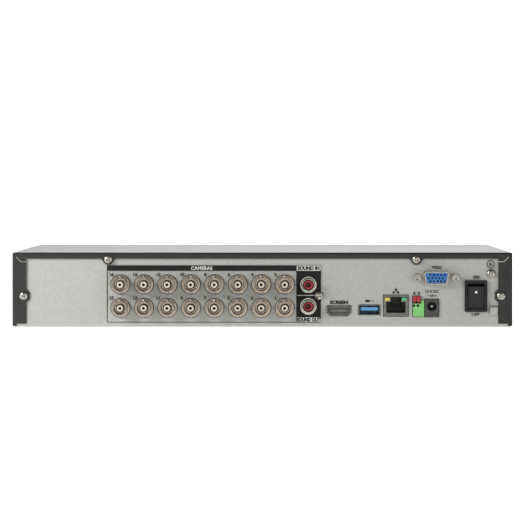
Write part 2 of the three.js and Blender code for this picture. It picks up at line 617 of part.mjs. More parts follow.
function videoTongue() {
  const [backStart, backEnd] = [videoSocket.depth - 3, videoSocket.depth];
  const back = alongY(videoOutline(-videoSocket.wall - seatGap), backStart, backEnd);
  const half = videoSocket.tongueWidth / 2;
  const thick = videoSocket.tongueThickness / 2;
  const tip = videoSocket.tongueSetback - videoSocket.proud;
  const tongue = box(videoX - half, videoX + half, tip, backStart + 1, videoSocket.height - thick,
    videoSocket.height + thick);
  return back.add(tongue);
}

function usbShell() {
  const place = around(usbX, usb.height, usb.width, usb.tall);
  const body = alongY(grown(place, 0), -usb.proud, usb.depth);
  return body.subtract(alongY(grown(place, -usb.wall), -usb.proud - 1, usb.depth + 1));
}

function usbTongue() {
  const back = alongY(grown(around(usbX, usb.height, usb.width, usb.tall), -usb.wall - seatGap),
    usb.depth - 4, usb.depth);
  const half = usb.tongueWidth / 2;
  const middle = usb.height + usb.tongueLift;
  const tongue = box(usbX - half, usbX + half, usb.tongueSetback - usb.proud, usb.depth - 3,
    middle - usb.tongueThickness / 2, middle + usb.tongueThickness / 2);
  return back.add(tongue);
}

// The plug's way in, with the latch's way above it, and the two lamp windows beside the latch
function networkOpenings(y0, y1, lampY1) {
  const latchBottom = network.plugBottom + network.plugTall;
  const plug = box(networkX - network.plugWidth / 2, networkX + network.plugWidth / 2, y0, y1,
    network.plugBottom, latchBottom);
  const latch = box(networkX - network.latchWidth / 2, networkX + network.latchWidth / 2, y0, y1,
    latchBottom - 1, latchBottom + network.latchTall);
  const windows = sides.map((side) => {
    const outer = side * (network.width / 2 - network.lampFromSide);
    const inner = outer - side * network.lampWidth;
    return box(networkX + Math.min(inner, outer), networkX + Math.max(inner, outer), y0, lampY1,
      latchBottom + network.latchTall - network.lampTall, latchBottom + network.latchTall);
  });
  return [plug, latch, ...windows];
}

function networkShell() {
  const place = around(networkX, network.bottom + network.tall / 2, network.width, network.tall);
  const body = alongY(grown(place, 0), -network.proud, network.depth);
  const hollow = alongY(grown(place, -network.wall), network.wall - network.proud, network.depth + 1);
  return cut(body, [hollow, ...networkOpenings(-network.proud - 1, network.wall, network.wall)]);
}

function networkInsert() {
  const place = around(networkX, network.bottom + network.tall / 2, network.width, network.tall);
  const front = network.wall - network.proud + seatGap;
  const body = alongY(grown(place, -network.wall - seatGap), front, network.depth);
  return cut(body, networkOpenings(front - 1, front + network.plugDepth, front + network.lampSetback));
}

// ---- Terminal block with two push buttons ----

const buttonPlaces = span(2).map((i) => terminalLeft + (i + 0.5) * terminalButton.pitch);

function terminalBlock() {
  const right = terminalLeft + terminal.width;
  const front = -terminal.proud;
  const base = box(terminalLeft, right, front, terminal.depth, terminal.bottom, terminal.ledge);
  const endWall = box(right - terminal.endWall, right, front, terminal.depth, terminal.ledge - 1,
    terminal.top);
  const backStart = terminalButton.length - terminalButton.proud + terminalButton.travel + slideGap;
  const back = box(terminalLeft, right, backStart, terminal.depth, terminal.ledge - 1, terminalButton.top);
  const wires = buttonPlaces.map((x) =>
    rodAlongY(terminal.wireRadius, front - 1, front + terminal.wireDepth, x - terminal.wireOffset,
      terminal.wireHeight, 8));
  return cut(join([base, endWall, back]), wires);
}

function terminalButtonBody() {
  const half = terminalButton.pitch / 2 - slideGap / 2;
  const bottom = terminal.ledge + slideGap;
  const shape = outline([
    [0, bottom], [half, bottom + terminalButton.point], [half, terminalButton.top],
    [-half, terminalButton.top], [-half, bottom + terminalButton.point],
  ]);
  return alongY(shape, -terminalButton.proud, terminalButton.length - terminalButton.proud);
}

// ---- Power jack ----

function powerJackBody() {
  const { width, bottom, tall, proud, depth, boreHeight, boreRadius, boreDepth, pinRadius } = powerJack;
  const body = box(powerX - width / 2, powerX + width / 2, -proud, depth, bottom, bottom + tall);
  return cut(body, [
    rodAlongY(boreRadius, -proud - 1, boreDepth - proud, powerX, boreHeight, 16),
    rodAlongY(pinRadius + seatGap, 0, depth + 1, powerX, boreHeight, 10),
  ]);
}

function powerJackPin() {
  const { proud, depth, boreHeight, pinRadius, pinSetback } = powerJack;
  return rodAlongY(pinRadius, pinSetback - proud, depth, powerX, boreHeight, 10);
}

// ---- Monitor socket, about its own centre on the rear wall ----

function monitorShell() {
  const plateY = traySheet + seatGap;
  const skirt = alongY(monitorOutline(0), -monitor.reach, plateY + monitor.plate);
  const [halfW, halfT] = [monitor.plateWidth / 2, monitor.plateTall / 2];
  const plate = alongY(rectangle(-halfW, halfW, -halfT, halfT, 1), plateY, plateY + monitor.plate);
  const studs = sides.map((side) =>
    rodAlongY(monitor.studRadius + holeGap, plateY - 1, plateY + monitor.plate + 1,
      side * monitor.nutOffset, 0, 10));
  return cut(skirt.add(plate), [alongY(monitorOutline(-monitor.wall), -monitor.reach - 1, plateY + 2),
    ...studs]);
}

function monitorInsert() {
  const front = monitor.insertSetback - monitor.reach;
  const plateEnd = traySheet + seatGap + monitor.plate + seatGap;
  const face = alongY(monitorOutline(-monitor.wall - seatGap), front, plateEnd + 1);
  const [halfW, halfT] = [monitor.bodyWidth / 2, monitor.bodyTall / 2];
  const body = box(-halfW, halfW, plateEnd, monitor.bodyDepth, -halfT, halfT);
  const leg = box(-halfW, halfW, monitor.bodyDepth - monitor.legDepth, monitor.bodyDepth,
    boardTop + seatGap - monitor.height, 1 - halfT);
  const pins = [-1, 0, 1].flatMap((row) => span(5).map((i) => {
    const shift = row === 0 ? -0.25 : 0.25; // the middle row is half a pitch across from the others
    return rodAlongY(monitor.pinRadius, front - 1, front + monitor.pinDepth,
      (i - 2 + shift) * monitor.pinPitch, row * monitor.rowPitch, 6);
  }));
  return cut(join([face, body, leg]), pins);
}

function monitorNut() {
  const hexagon = rodAlongY(monitor.nutAcross / Math.sqrt(3), -seatGap - monitor.nutLength, -seatGap, 0, 0,
    6);
  const stud = rodAlongY(monitor.studRadius, -seatGap - 1, traySheet + 4, 0, 0, 8);
  const bore = rodAlongY(monitor.nutBore, -monitor.nutLength - 1, -1.5, 0, 0, 8);
  return hexagon.add(stud).subtract(bore);
}

// ---- Rocker switch ----

function rockerFrame() {
  const seat = -seatGap;
  const [bezelW, bezelT] = [rocker.bezelWidth / 2, rocker.bezelTall / 2];
  const rim = alongY(rectangle(-bezelW, bezelW, -bezelT, bezelT, rocker.bezelCorner),
    seat - rocker.bezelProud, seat);
  const [bodyW, bodyT] = [rocker.bodyWidth / 2, rocker.bodyTall / 2];
  const body = box(-bodyW, bodyW, seat - 1, rocker.bodyDepth, -bodyT, bodyT);
  const blades = sides.flatMap((across) => sides.map((up) => {
    const [x, z] = [across * rocker.bladeSpread / 2, up * rocker.bladePitch / 2];
    return box(x - rocker.bladeThickness / 2, x + rocker.bladeThickness / 2, rocker.bodyDepth - 1,
      rocker.bodyDepth + rocker.bladeLength, z - rocker.bladeWidth / 2, z + rocker.bladeWidth / 2);
  }));
  const [pocketW, pocketT] = [rocker.pocketWidth / 2, rocker.pocketTall / 2];
  const pocket = box(-pocketW, pocketW, -rocker.bezelProud - 1, rocker.pocketFloor, -pocketT, pocketT);
  const pinReach = rocker.paddleWidth / 2 + rocker.pinLength + holeGap;
  const bearings = rodAlongX(rocker.pinRadius + slideGap, -pinReach, pinReach, rocker.pivotDepth, 0, 10);
  return cut(join([rim, body, ...blades]), [pocket, bearings]);
}

// The paddle about its pivot: a shallow V on the outside and a stem towards the contacts
function rockerPaddle() {
  const profile = outline([
    [-4.1, 7.2], [-3.1, 0], [-4.1, -7.2], [-1.5, -7.0], [-0.4, -3.4], [1.5, -3.0], [3.5, -2.0],
    [3.5, 2.0], [1.5, 3.0], [-0.4, 3.4], [-1.5, 7.0],
  ]);
  const half = rocker.paddleWidth / 2;
  const pins = rodAlongX(rocker.pinRadius, -half - rocker.pinLength, half + rocker.pinLength, 0, 0, 10);
  return alongX(profile, -half, half).add(pins);
}

// ---- Front bezel, its window and the board behind it ----

function frontBezel() {
  const { wall, face, corner, edge } = bezel;
  const shell = roundedBlock([-halfWidth, halfWidth], [bezelRear, caseDepth], [0, caseHeight], corner, edge,
    "front");
  const hollow = box(-halfWidth + wall, halfWidth - wall, bezelRear - 1, caseDepth - face, wall,
    caseHeight - wall);
  const [left, right] = [-halfWidth + frontWindow.fromLeft, fromRight(frontWindow.fromRight)];
  const recess = box(left, right, caseDepth - frontWindow.thickness, caseDepth + 1,
    frontWindow.bottom, frontWindow.bottom + frontWindow.tall);
  const lampHoles = lampPlaces.map((x) =>
    rodAlongY(lamps.radius + holeGap, caseDepth - face - 1, caseDepth + 1, x, lamps.height, 8));
  const usbHole = alongY(grown(around(frontUsbX, frontUsb.height, frontUsb.width, frontUsb.tall), holeGap),
    caseDepth - face - 1, caseDepth + 1);
  const arms = hookPlaces.map(([x, z]) => {
    const [x0, x1] = [x - hooks.width / 2, x + hooks.width / 2];
    const [tip, root] = [bezelRear - hooks.reach, caseDepth - face + 0.5];
    const barb = box(x0, x1, tip, tip + hooks.barbLength, z - hooks.barb, z + hooks.barb);
    return box(x0, x1, tip, root, z, z + hooks.thickness).add(barb);
  });
  return join([cut(shell, [hollow, recess, ...lampHoles, usbHole]), ...arms]);
}

function windowStrip() {
  const [left, right] = [-halfWidth + frontWindow.fromLeft, fromRight(frontWindow.fromRight)];
  return box(left + slideGap, right - slideGap,
    caseDepth - frontWindow.thickness + seatGap, caseDepth,
    frontWindow.bottom + slideGap, frontWindow.bottom + frontWindow.tall - slideGap);
}

function frontBoardBody() {
  const right = fromRight(frontBoard.fromRight);
  const boardY = caseDepth - frontBoard.behindFace;
  const sheet = box(right - frontBoard.width, right, boardY, boardY + frontBoard.thickness, frontBoard.bottom,
    frontBoard.bottom + frontBoard.tall);
  const lampBodies = lampPlaces.map((x) => rodAlongY(lamps.radius, boardY + 1,
    caseDepth - frontWindow.thickness - slideGap,
    x, lamps.height, 8));
  const place = around(frontUsbX, frontUsb.height, frontUsb.width, frontUsb.tall);
  const socket = alongY(grown(place, 0), boardY + 1, caseDepth - frontUsb.setback);
  const way = alongY(grown(place, -frontUsb.wall), boardY + 3, caseDepth + 1);
  return join([sheet, ...lampBodies, socket.subtract(way)]);
}

// ---- Boards, heat sink and drive inside ----

const sinkX = fromRight(heatSink.fromRight);
const sinkY = (socketBack + boardFront) / 2;
const driveSocketX = driveRight + driveSocket.fromDrive;
const frontSocketX = fromRight(frontSocket.fromRight);
const leadSocketPlace = [fromRight(leadSocket.fromRight), socketBack + leadSocket.behindSockets];

function mainBoard() {
  const chip = (x, y, { size, width = size, depth = size, tall }) =>
    box(x - width / 2, x + width / 2, y - depth / 2, y + depth / 2, boardTop - 0.5, boardTop + tall);
  const sheet = box(boardLeft, boardRight, board.rear, boardFront, board.underside, boardTop);
  const converterChips = span(converters.count).map((i) =>
    chip(bncLeft + converters.fromLeft + i * 2 * bnc.pitch, socketBack + converters.behindSockets,
      converters));
  const memory = span(memoryChips.count).map((i) =>
    chip(sinkX + memoryChips.besideSink, sinkY - memoryChips.firstBack + i * memoryChips.pitch, memoryChips));
  const cans = span(capacitors.count).map((i) => post(capacitors.radius, boardTop - 0.5,
    boardTop + capacitors.tall,
    fromRight(capacitors.fromRight) + i * capacitors.pitch, boardFront - capacitors.behindEdge, 10));
  const chokes = span(coils.count).map((i) =>
    chip(fromRight(coils.fromRight) + i * coils.pitch, boardFront - coils.behindEdge, coils));
  return join([
    sheet, chip(sinkX, sinkY, processor), ...converterChips, ...memory, ...cans, ...chokes,
    chip(driveSocketX, boardFront - driveSocket.behindEdge, driveSocket),
    chip(frontSocketX, boardFront - frontSocket.behindEdge, frontSocket),
    chip(...leadSocketPlace, leadSocket),
  ]);
}

function heatSinkBody() {
  const bottom = boardTop + processor.tall + seatGap;
  const half = heatSink.size / 2;
  const base = box(sinkX - half, sinkX + half, sinkY - half, sinkY + half, bottom, bottom + heatSink.base);
  const pitch = (heatSink.size - heatSink.finThickness) / (heatSink.fins - 1);
  const fins = span(heatSink.fins).map((i) => {
    const x = sinkX - half + i * pitch;
    return box(x, x + heatSink.finThickness, sinkY - half, sinkY + half, bottom + 1, bottom + heatSink.tall);
  });
  return join([base, ...fins]);
}

function hardDrive() {
  const bottom = traySheet + drive.bossHeight + seatGap;
  const top = bottom + drive.tall;
  const casting = box(driveLeft, driveRight, driveRear, driveFront, bottom, top - drive.lidHeight);
  const inset = drive.lidInset;
  const lidShape = rectangle(driveLeft + inset, driveRight - 2 * inset, driveRear + inset,
    driveFront - inset, drive.lidCorner);
  const lid = alongZ(lidShape, top - drive.lidHeight - 1, top);
  const socketRecess = box(driveRight - drive.socketDeep, driveRight + 1, driveRear + drive.socketRear,
    driveRear + drive.socketFront, bottom + drive.socketBottom, bottom + drive.socketTop);
  return casting.add(lid).subtract(socketRecess);
}

// Leads inside the case: a round jacket with a connector block at each end
function driveCable() {
  const plugY = driveRear + 34;
  const plugZ = traySheet + drive.bossHeight + 5.8;
  const socketTop = boardTop + driveSocket.tall + seatGap;
  const boardPlug = box(driveSocketX - 8, driveSocketX + 8, boardFront - 10.5, boardFront - 5.5, socketTop,
    socketTop + 7);
  const drivePlug = box(driveRight - 4.5, driveRight + 7, plugY - 12, plugY + 12, plugZ - 2.6, plugZ + 2.6);
  const jacket = tube([
    [driveSocketX, boardFront - 8, socketTop + 6],
    [driveSocketX, boardFront - 6, socketTop + 14],
    [driveSocketX, boardFront + 10, socketTop + 16],
    [driveSocketX - 3, boardFront + 28, socketTop + 4],
    [driveRight + 20, plugY, plugZ + 1],
    [driveRight + 6, plugY, plugZ],
  ], 2.2, 16);
  return join([boardPlug, drivePlug, jacket]);
}

function switchLead() {
  const [x, y] = leadSocketPlace;
  const socketTop = boardTop + leadSocket.tall + seatGap;
  const bladeEnd = rocker.bodyDepth + rocker.bladeLength + seatGap;
  const switchPlug = box(rockerX - 5, rockerX + 5, bladeEnd, bladeEnd + 7, rocker.height - 6,
    rocker.height + 6);
  const boardPlug = box(x - 4.5, x + 4.5, y - 3.5, y + 3.5, socketTop, socketTop + 6);
  const jacket = tube([
    [rockerX, bladeEnd + 6, rocker.height],
    [rockerX, bladeEnd + 16, rocker.height + 2],
    [(rockerX + x) / 2, y + 10, socketTop + 15],
    [x, y + 4, socketTop + 13],
    [x, y, socketTop + 5],
  ], 2.0, 14);
  return join([switchPlug, boardPlug, jacket]);
}

function frontBoardCable() {
  const socketTop = boardTop + frontSocket.tall + seatGap;
  const boardPlug = box(frontSocketX - 6, frontSocketX + 6, boardFront - 8, boardFront - 4, socketTop,
    socketTop + 5);
  const plugEnd = caseDepth - frontBoard.behindFace - seatGap;
  const frontPlug = box(frontSocketX - 6, frontSocketX + 6, plugEnd - 5, plugEnd, 17, 25);
  const jacket = tube([
    [frontSocketX, boardFront - 6, socketTop + 4],
    [frontSocketX, boardFront, socketTop + 12],
    [frontSocketX, boardFront + 16, socketTop + 8],
    [frontSocketX, boardFront + 30, traySheet + 6],
    [frontSocketX, trayFront - 22, traySheet + 6],
    [frontSocketX, trayFront - 8, 18],
    [frontSocketX, plugEnd - 4, 21],
  ], 1.8, 20);
  return join([boardPlug, frontPlug, jacket]);
}

function rubberFoot() {
  const { radius, taper, stemRadius, stemLength } = foot;
  const shape = turned([
    [0, -footHeight + 0.6], [radius - 3, -footHeight + 0.6], [radius - 2.4, -footHeight], [radius - taper,
      -footHeight],
    [radius, -seatGap], [stemRadius, -seatGap], [stemRadius, stemLength], [0, stemLength],
  ], 16);
  return shape.rotate([90, 0, 0]);
}

// ---- Every piece in its place ----

piece("base_tray", baseTray(), finish.zincSteel);
piece("top_cover", topCover(), finish.coverPaint);
piece("front_bezel", frontBezel(), finish.blackPlastic);
piece("front_window", windowStrip(), finish.smokedWindow);
["rear_left", "rear_right", "front_left", "front_right"].forEach((where, i) =>
  piece(`rubber_foot_${where}`, rubberFoot(), finish.rubber, [...footPlaces[i], 0]));

const coverSeat = -seatGap - coverSheet - seatGap;
["top_left", "top_right", "side_left", "side_right"].forEach((where, i) => {
  const [x, z] = [...topScrews, ...sideScrews][i];
  piece(`cover_screw_${where}`, panScrew(), finish.brightSteel, [x, coverSeat, z]);
});
piece("ground_screw", panScrew(), finish.brightSteel, [ground[0], -seatGap, ground[1]]);
piece("audio_jack_screw", panScrew(), finish.brightSteel, [audioScrew[0], -seatGap, audioScrew[1]]);

bncPlaces.forEach(([x, z], i) => {
  const channel = String(i + 1).padStart(2, "0");
  piece(`bnc_barrel_${channel}`, bncBarrel(), finish.nickel, [x, 0, z]);
});
piece("bnc_housing", bncHousing(), finish.creamPlastic);

piece("audio_jack_housing", audioHousing(), finish.blackPlastic);
["out", "in"].forEach((use, i) => {
  piece(`audio_jack_sleeve_${use}`, audioSleeve(), finish.nickel, [audioX, 0, audioRows[i]]);
  piece(`audio_jack_insert_${use}`, audioInsert(), finish.redPlastic, [audioX, 0, audioRows[i]]);
});

piece("video_socket_shell", videoShell(), finish.darkSteel);
piece("video_socket_tongue", videoTongue(), finish.blackPlastic);
piece("usb_socket_shell", usbShell(), finish.brightSteel);
piece("usb_socket_tongue", usbTongue(), finish.bluePlastic);
piece("network_jack_shell", networkShell(), finish.brightSteel);
piece("network_jack_insert", networkInsert(), finish.blackPlastic);
piece("terminal_block", terminalBlock(), finish.greenPlastic);
["a", "b"].forEach((pole, i) =>
  piece(`terminal_button_${pole}`, terminalButtonBody(), finish.redPlastic, [buttonPlaces[i], 0, 0]));
piece("power_jack_body", powerJackBody(), finish.greyPlastic);
piece("power_jack_pin", powerJackPin(), finish.nickel);

piece("monitor_socket_shell", monitorShell(), finish.brightSteel, [monitorX, 0, monitor.height]);
piece("monitor_socket_insert", monitorInsert(), finish.bluePlastic, [monitorX, 0, monitor.height]);
["left", "right"].forEach((where, i) => piece(`monitor_socket_nut_${where}`, monitorNut(), finish.brightSteel,
  [monitorX + sides[i] * monitor.nutOffset, 0, monitor.height]));

piece("rocker_switch_frame", rockerFrame(), finish.blackPlastic, [rockerX, 0, rocker.height]);
piece("rocker_switch_paddle", rockerPaddle(), finish.greyPlastic,
  [rockerX, rocker.pivotDepth, rocker.height], rocker.restAngle);

piece("main_board", mainBoard(), finish.circuitBoard);
piece("heat_sink", heatSinkBody(), finish.aluminium);
piece("hard_drive", hardDrive(), finish.driveCasting);
piece("front_board", frontBoardBody(), finish.circuitBoard);
piece("drive_cable", driveCable(), finish.cableJacket);
piece("switch_lead", switchLead(), finish.cableJacket);
piece("front_board_cable", frontBoardCable(), finish.cableJacket);

export default recorder;
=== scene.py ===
# A compact 16-channel video recorder, seen from its socket side, finished around its fixed frame.
import json
import math
import random

import bmesh
import bpy
from mathutils import Matrix, Vector

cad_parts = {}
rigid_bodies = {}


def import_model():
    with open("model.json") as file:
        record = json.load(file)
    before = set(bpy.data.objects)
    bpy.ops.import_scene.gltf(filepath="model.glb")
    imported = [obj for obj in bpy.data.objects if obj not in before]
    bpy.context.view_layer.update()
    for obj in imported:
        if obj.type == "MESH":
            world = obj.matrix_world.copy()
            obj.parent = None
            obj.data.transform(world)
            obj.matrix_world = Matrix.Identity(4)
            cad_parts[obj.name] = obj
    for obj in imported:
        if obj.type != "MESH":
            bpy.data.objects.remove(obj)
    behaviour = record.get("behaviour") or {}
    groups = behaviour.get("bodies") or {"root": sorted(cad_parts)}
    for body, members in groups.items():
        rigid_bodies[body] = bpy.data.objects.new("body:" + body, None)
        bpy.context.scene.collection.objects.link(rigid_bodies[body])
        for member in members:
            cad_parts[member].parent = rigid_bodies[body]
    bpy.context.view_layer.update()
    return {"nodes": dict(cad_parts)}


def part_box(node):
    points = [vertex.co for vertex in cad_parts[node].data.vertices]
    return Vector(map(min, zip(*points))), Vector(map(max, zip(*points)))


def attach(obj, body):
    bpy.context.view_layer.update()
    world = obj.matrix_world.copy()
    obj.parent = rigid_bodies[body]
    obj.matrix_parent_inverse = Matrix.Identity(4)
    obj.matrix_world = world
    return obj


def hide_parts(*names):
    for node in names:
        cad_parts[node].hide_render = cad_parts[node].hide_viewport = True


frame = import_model()
random.seed(16)
mm = 0.001
weld = 0.002 * mm  # points closer than this are merged


def middle(node):
    low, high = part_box(node)
    return (low + high) / 2


coverProud = 0.9 * mm  # the cover's rear flange stands this far outside the rear wall
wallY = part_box("top_cover")[0].y + coverProud
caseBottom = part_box("base_tray")[0].z
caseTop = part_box("top_cover")[1].z
barrelNodes = ["bnc_barrel_%02d" % (i + 1) for i in range(16)]
screwNodes = [n for n in frame["nodes"] if "screw" in n]
footNodes = [n for n in frame["nodes"] if n.startswith("rubber_foot")]


def titled(node):
    return node.replace("_", " ").title().replace(" ", "")


def clearSelection():
    bpy.ops.object.select_all(action="DESELECT")


def makeActive(piece):
    clearSelection()
    piece.select_set(True)
    bpy.context.view_layer.objects.active = piece


def bakePlace():
    bpy.ops.object.transform_apply(location=True, rotation=True, scale=True)


def startEdit(piece, choose="DESELECT"):
    makeActive(piece)
    bpy.ops.object.mode_set(mode="EDIT")
    bpy.ops.mesh.select_mode(type="FACE")
    bpy.ops.mesh.select_all(action=choose)


def endEdit():
    bpy.ops.object.mode_set(mode="OBJECT")


def closeEdit(piece):
    # merges doubles, turns the faces outwards and puts the place into the mesh
    bpy.ops.mesh.select_all(action="SELECT")
    bpy.ops.mesh.remove_doubles(threshold=weld)
    bpy.ops.mesh.normals_make_consistent(inside=False)
    endEdit()
    bakePlace()
    return piece


def pickFaces(piece, test):
    # in edit mode, selects the faces whose middle and normal pass the test
    mesh = bmesh.from_edit_mesh(piece.data)
    for face in mesh.faces:
        face.select_set(bool(test(face.calc_center_median(), face.normal)))
    bmesh.update_edit_mesh(piece.data)


def insetFaces(piece, test, width, depth):
    # insets the faces that pass the test and raises them, or sinks them where depth is negative; in mm
    startEdit(piece)
    pickFaces(piece, test)
    bpy.ops.mesh.inset(thickness=width * mm, depth=depth * mm)
    endEdit()


def applyModifier(piece, kind, **settings):
    makeActive(piece)
    modifier = piece.modifiers.new("step", kind)
    for name, value in settings.items():
        setattr(modifier, name, value)
    bpy.ops.object.modifier_apply(modifier=modifier.name)
    return piece


def roundEdges(piece, width, segments=2, angle=30, clamp=True):
    # width in mm
    return applyModifier(piece, "BEVEL", width=width * mm, segments=segments, limit_method="ANGLE",
                         angle_limit=math.radians(angle), use_clamp_overlap=clamp)


def cutAway(piece, cutter):
    applyModifier(piece, "BOOLEAN", operation="DIFFERENCE", object=cutter, solver="EXACT")
    bpy.data.objects.remove(cutter, do_unlink=True)
    return piece


def joinPieces(name, pieces):
    clearSelection()
    for piece in pieces:
        piece.select_set(True)
    bpy.context.view_layer.objects.active = pieces[0]
    if len(pieces) > 1:
        bpy.ops.object.join()
    pieces[0].name = name
    return pieces[0]


def copyPiece(source, name, shift=(0, 0, 0), turn=0.0, about=(0, 0, 0)):
    # a copy with its own mesh, turned about the y axis through a point and then moved
    piece = source.copy()
    piece.data = source.data.copy()
    piece.name = name
    bpy.context.collection.objects.link(piece)
    about = Vector(about)
    turned = Matrix.Translation(about) @ Matrix.Rotation(turn, 4, "Y") @ Matrix.Translation(-about)
    piece.data.transform(Matrix.Translation(Vector(shift)) @ turned)
    return piece


def finishPiece(piece, material, slot, *nodes, body="case", smooth=32):
    makeActive(piece)
    bakePlace()
    if smooth:
        bpy.ops.object.shade_smooth_by_angle(angle=math.radians(smooth))
        applyModifier(piece, "WEIGHTED_NORMAL", keep_sharp=True)  # flat faces stay flat beside rounded edges
    piece.data.materials.clear()
    piece.data.materials.append(material)
    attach(piece, body)
    if nodes:
        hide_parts(*nodes)
    return piece


def addBlock(name, low, high):
    clearSelection()
    size = [h - l for l, h in zip(low, high)]
    bpy.ops.mesh.primitive_cube_add(size=1, location=[(l + h) / 2 for l, h in zip(low, high)], scale=size)
    piece = bpy.context.object
    piece.name = name
    bakePlace()
    return piece


def addBlockAt(name, place, low, high):
    # a block between two corners given in mm from a place
    return addBlock(name, *([p + step * mm for p, step in zip(place, corner)] for corner in (low, high)))


def addRod(name, radius, start, end, sides=24):
    # a rod from start to end along any axis, radius in mm
    start, end = Vector(start), Vector(end)
    along = end - start
    clearSelection()
    bpy.ops.mesh.primitive_cylinder_add(vertices=sides, radius=radius * mm, depth=along.length,
                                        location=(start + end) / 2,
                                        rotation=along.to_track_quat("Z", "Y").to_euler())
    piece = bpy.context.object
    piece.name = name
    bakePlace()
    return piece


def addPin(name, radius, x, z, y0, y1, sides=32):
    # a rod along y
    return addRod(name, radius, (x, y0, z), (x, y1, z), sides)


def drawLine(name, points, closed=False):
    # a line drawn by extruding one point again and again; the piece stays in edit mode
    clearSelection()
    bpy.ops.mesh.primitive_plane_add(size=mm, location=points[0])
    piece = bpy.context.object
    piece.name = name
    bpy.ops.object.mode_set(mode="EDIT")
    bpy.ops.mesh.select_mode(type="VERT")
    bpy.ops.mesh.merge(type="CENTER")
    stops = list(points) + ([points[0]] if closed else [])
    for start, end in zip(stops, stops[1:]):
        step = Vector(end) - Vector(start)
        bpy.ops.mesh.extrude_region_move(TRANSFORM_OT_translate={"value": step})
    bpy.ops.mesh.select_all(action="SELECT")
    if closed:
        bpy.ops.mesh.remove_doubles(threshold=weld)
    return piece


def roundCorners(corners, radius, steps=4):
    # an outline with each corner made an arc
    points = []
    for i, corner in enumerate(corners):
        corner = Vector(corner)
        back = (Vector(corners[i - 1]) - corner).normalized()
        ahead = (Vector(corners[(i + 1) % len(corners)]) - corner).normalized()
        half = back.angle(ahead) / 2
        centre = corner + (back + ahead).normalized() * radius / math.sin(half)
        start = corner + back * radius / math.tan(half) - centre
        end = corner + ahead * radius / math.tan(half) - centre
        first = math.atan2(start.y, start.x)
        sweep = math.remainder(math.atan2(end.y, end.x) - first, 2 * math.pi)
        for k in range(steps + 1):
            angle = first + sweep * k / steps
            points.append((centre.x + radius * math.cos(angle), centre.y + radius * math.sin(angle)))
    return points


def boxOutline(x0, x1, z0, z1, radius=0.0, steps=4):
    corners = [(x0, z0), (x1, z0), (x1, z1), (x0, z1)]
    return roundCorners(corners, radius, steps) if radius else corners


def addPrism(name, outline, y0, y1):
    # an (x, z) outline filled and extruded along y
    piece = drawLine(name, [(x, y0, z) for x, z in outline], closed=True)
    bpy.ops.mesh.edge_face_add()
    bpy.ops.mesh.select_all(action="SELECT")
    bpy.ops.mesh.extrude_region_move(TRANSFORM_OT_translate={"value": (0, y1 - y0, 0)})
    return closeEdit(piece)


def addSheetTube(name, outline, y0, y1, wall):
    # an open tube of sheet metal folded round an (x, z) outline, its wall in mm and inwards
    piece = drawLine(name, [(x, y0, z) for x, z in outline], closed=True)
    bpy.ops.mesh.extrude_region_move(TRANSFORM_OT_translate={"value": (0, y1 - y0, 0)})
    closeEdit(piece)
    return applyModifier(piece, "SOLIDIFY", thickness=wall * mm, offset=-1, use_even_offset=True)


def spinProfile(name, profile, centre, base, steps=48):
    # a body turned about the y axis through centre from (radius, y) points in mm, y counted from base
    piece = drawLine(name, [(centre[0] + radius * mm, base + y * mm, centre[2]) for radius, y in profile])
    bpy.ops.mesh.spin(steps=steps, angle=2 * math.pi, center=(centre[0], 0, centre[2]), axis=(0, 1, 0))
    return closeEdit(piece)


def finishedCopy(node, edge=0, segments=2):
    # the frame's own shape with its doubled points welded and its custom normals cleared, and every sharp
    # edge rounded by edge mm
    piece = bpy.data.objects.new(titled(node) + "Finished", frame["nodes"][node].data.copy())
    bpy.context.collection.objects.link(piece)
    startEdit(piece, "SELECT")
    bpy.ops.mesh.customdata_custom_splitnormals_clear()
    bpy.ops.mesh.remove_doubles(threshold=weld)
    endEdit()
    if edge:
        roundEdges(piece, edge, segments, clamp=False)
    return piece


def finishFrameShape(node, edge, material, slot, segments=2):
    finishPiece(finishedCopy(node, edge, segments), material, slot, node)


def addContacts(name, count, pitch, middleX, half, ys, zs, edge):
    # a row of flat contacts side by side; their pitch, half width and rounding in mm
    pins = []
    for i in range(count):
        x = middleX + (i - (count - 1) / 2) * pitch * mm
        pin = addBlock("pin", (x - half * mm, ys[0], zs[0]), (x + half * mm, ys[1], zs[1]))
        pins.append(roundEdges(pin, edge, 1))
    finishPiece(joinPieces(name, pins), gold, "nickel")


def hexColour(code):
    # an sRGB hex value as the linear colour that shaders use
    channels = [int(code[i:i + 2], 16) / 255 for i in (1, 3, 5)]
    return [c / 12.92 if c <= 0.04045 else ((c + 0.055) / 1.055) ** 2.4 for c in channels] + [1.0]


def addNode(tree, kind, inputs=None, **settings):
    node = tree.nodes.new(kind)
    for name, value in settings.items():
        setattr(node, name, value)
    for name, value in (inputs or {}).items():
        if isinstance(value, bpy.types.NodeSocket):
            tree.links.new(value, node.inputs[name])
        else:
            node.inputs[name].default_value = value
    return node


def startMaterial(name, roughness, metallic=0.0, **sockets):
    material = bpy.data.materials.new(name)
    material.use_nodes = True
    tree = material.node_tree
    shader = tree.nodes["Principled BSDF"]
    shader.inputs["Roughness"].default_value = roughness
    shader.inputs["Metallic"].default_value = metallic
    for socket, value in sockets.items():
        shader.inputs[socket.replace("_", " ")].default_value = value
    place = addNode(tree, "ShaderNodeTexCoord").outputs["Object"]
    return material, tree, shader, place


def noiseOf(tree, place, patch, detail):
    # a value that drifts over patches of a size in mm
    texture = {"Vector": place, "Scale": 1 / (patch * mm), "Detail": detail}
    return addNode(tree, "ShaderNodeTexNoise", texture).outputs["Fac"]


def drawnNoise(tree, place, sizes, detail):
    # noise drawn out along the axes, its grain's size in mm along each
    scale = [1 / (size * mm) for size in sizes]
    drawn = addNode(tree, "ShaderNodeMapping", {"Vector": place, "Scale": scale}).outputs["Vector"]
    texture = {"Vector": drawn, "Scale": 1.0, "Detail": detail}
    return addNode(tree, "ShaderNodeTexNoise", texture).outputs["Fac"]


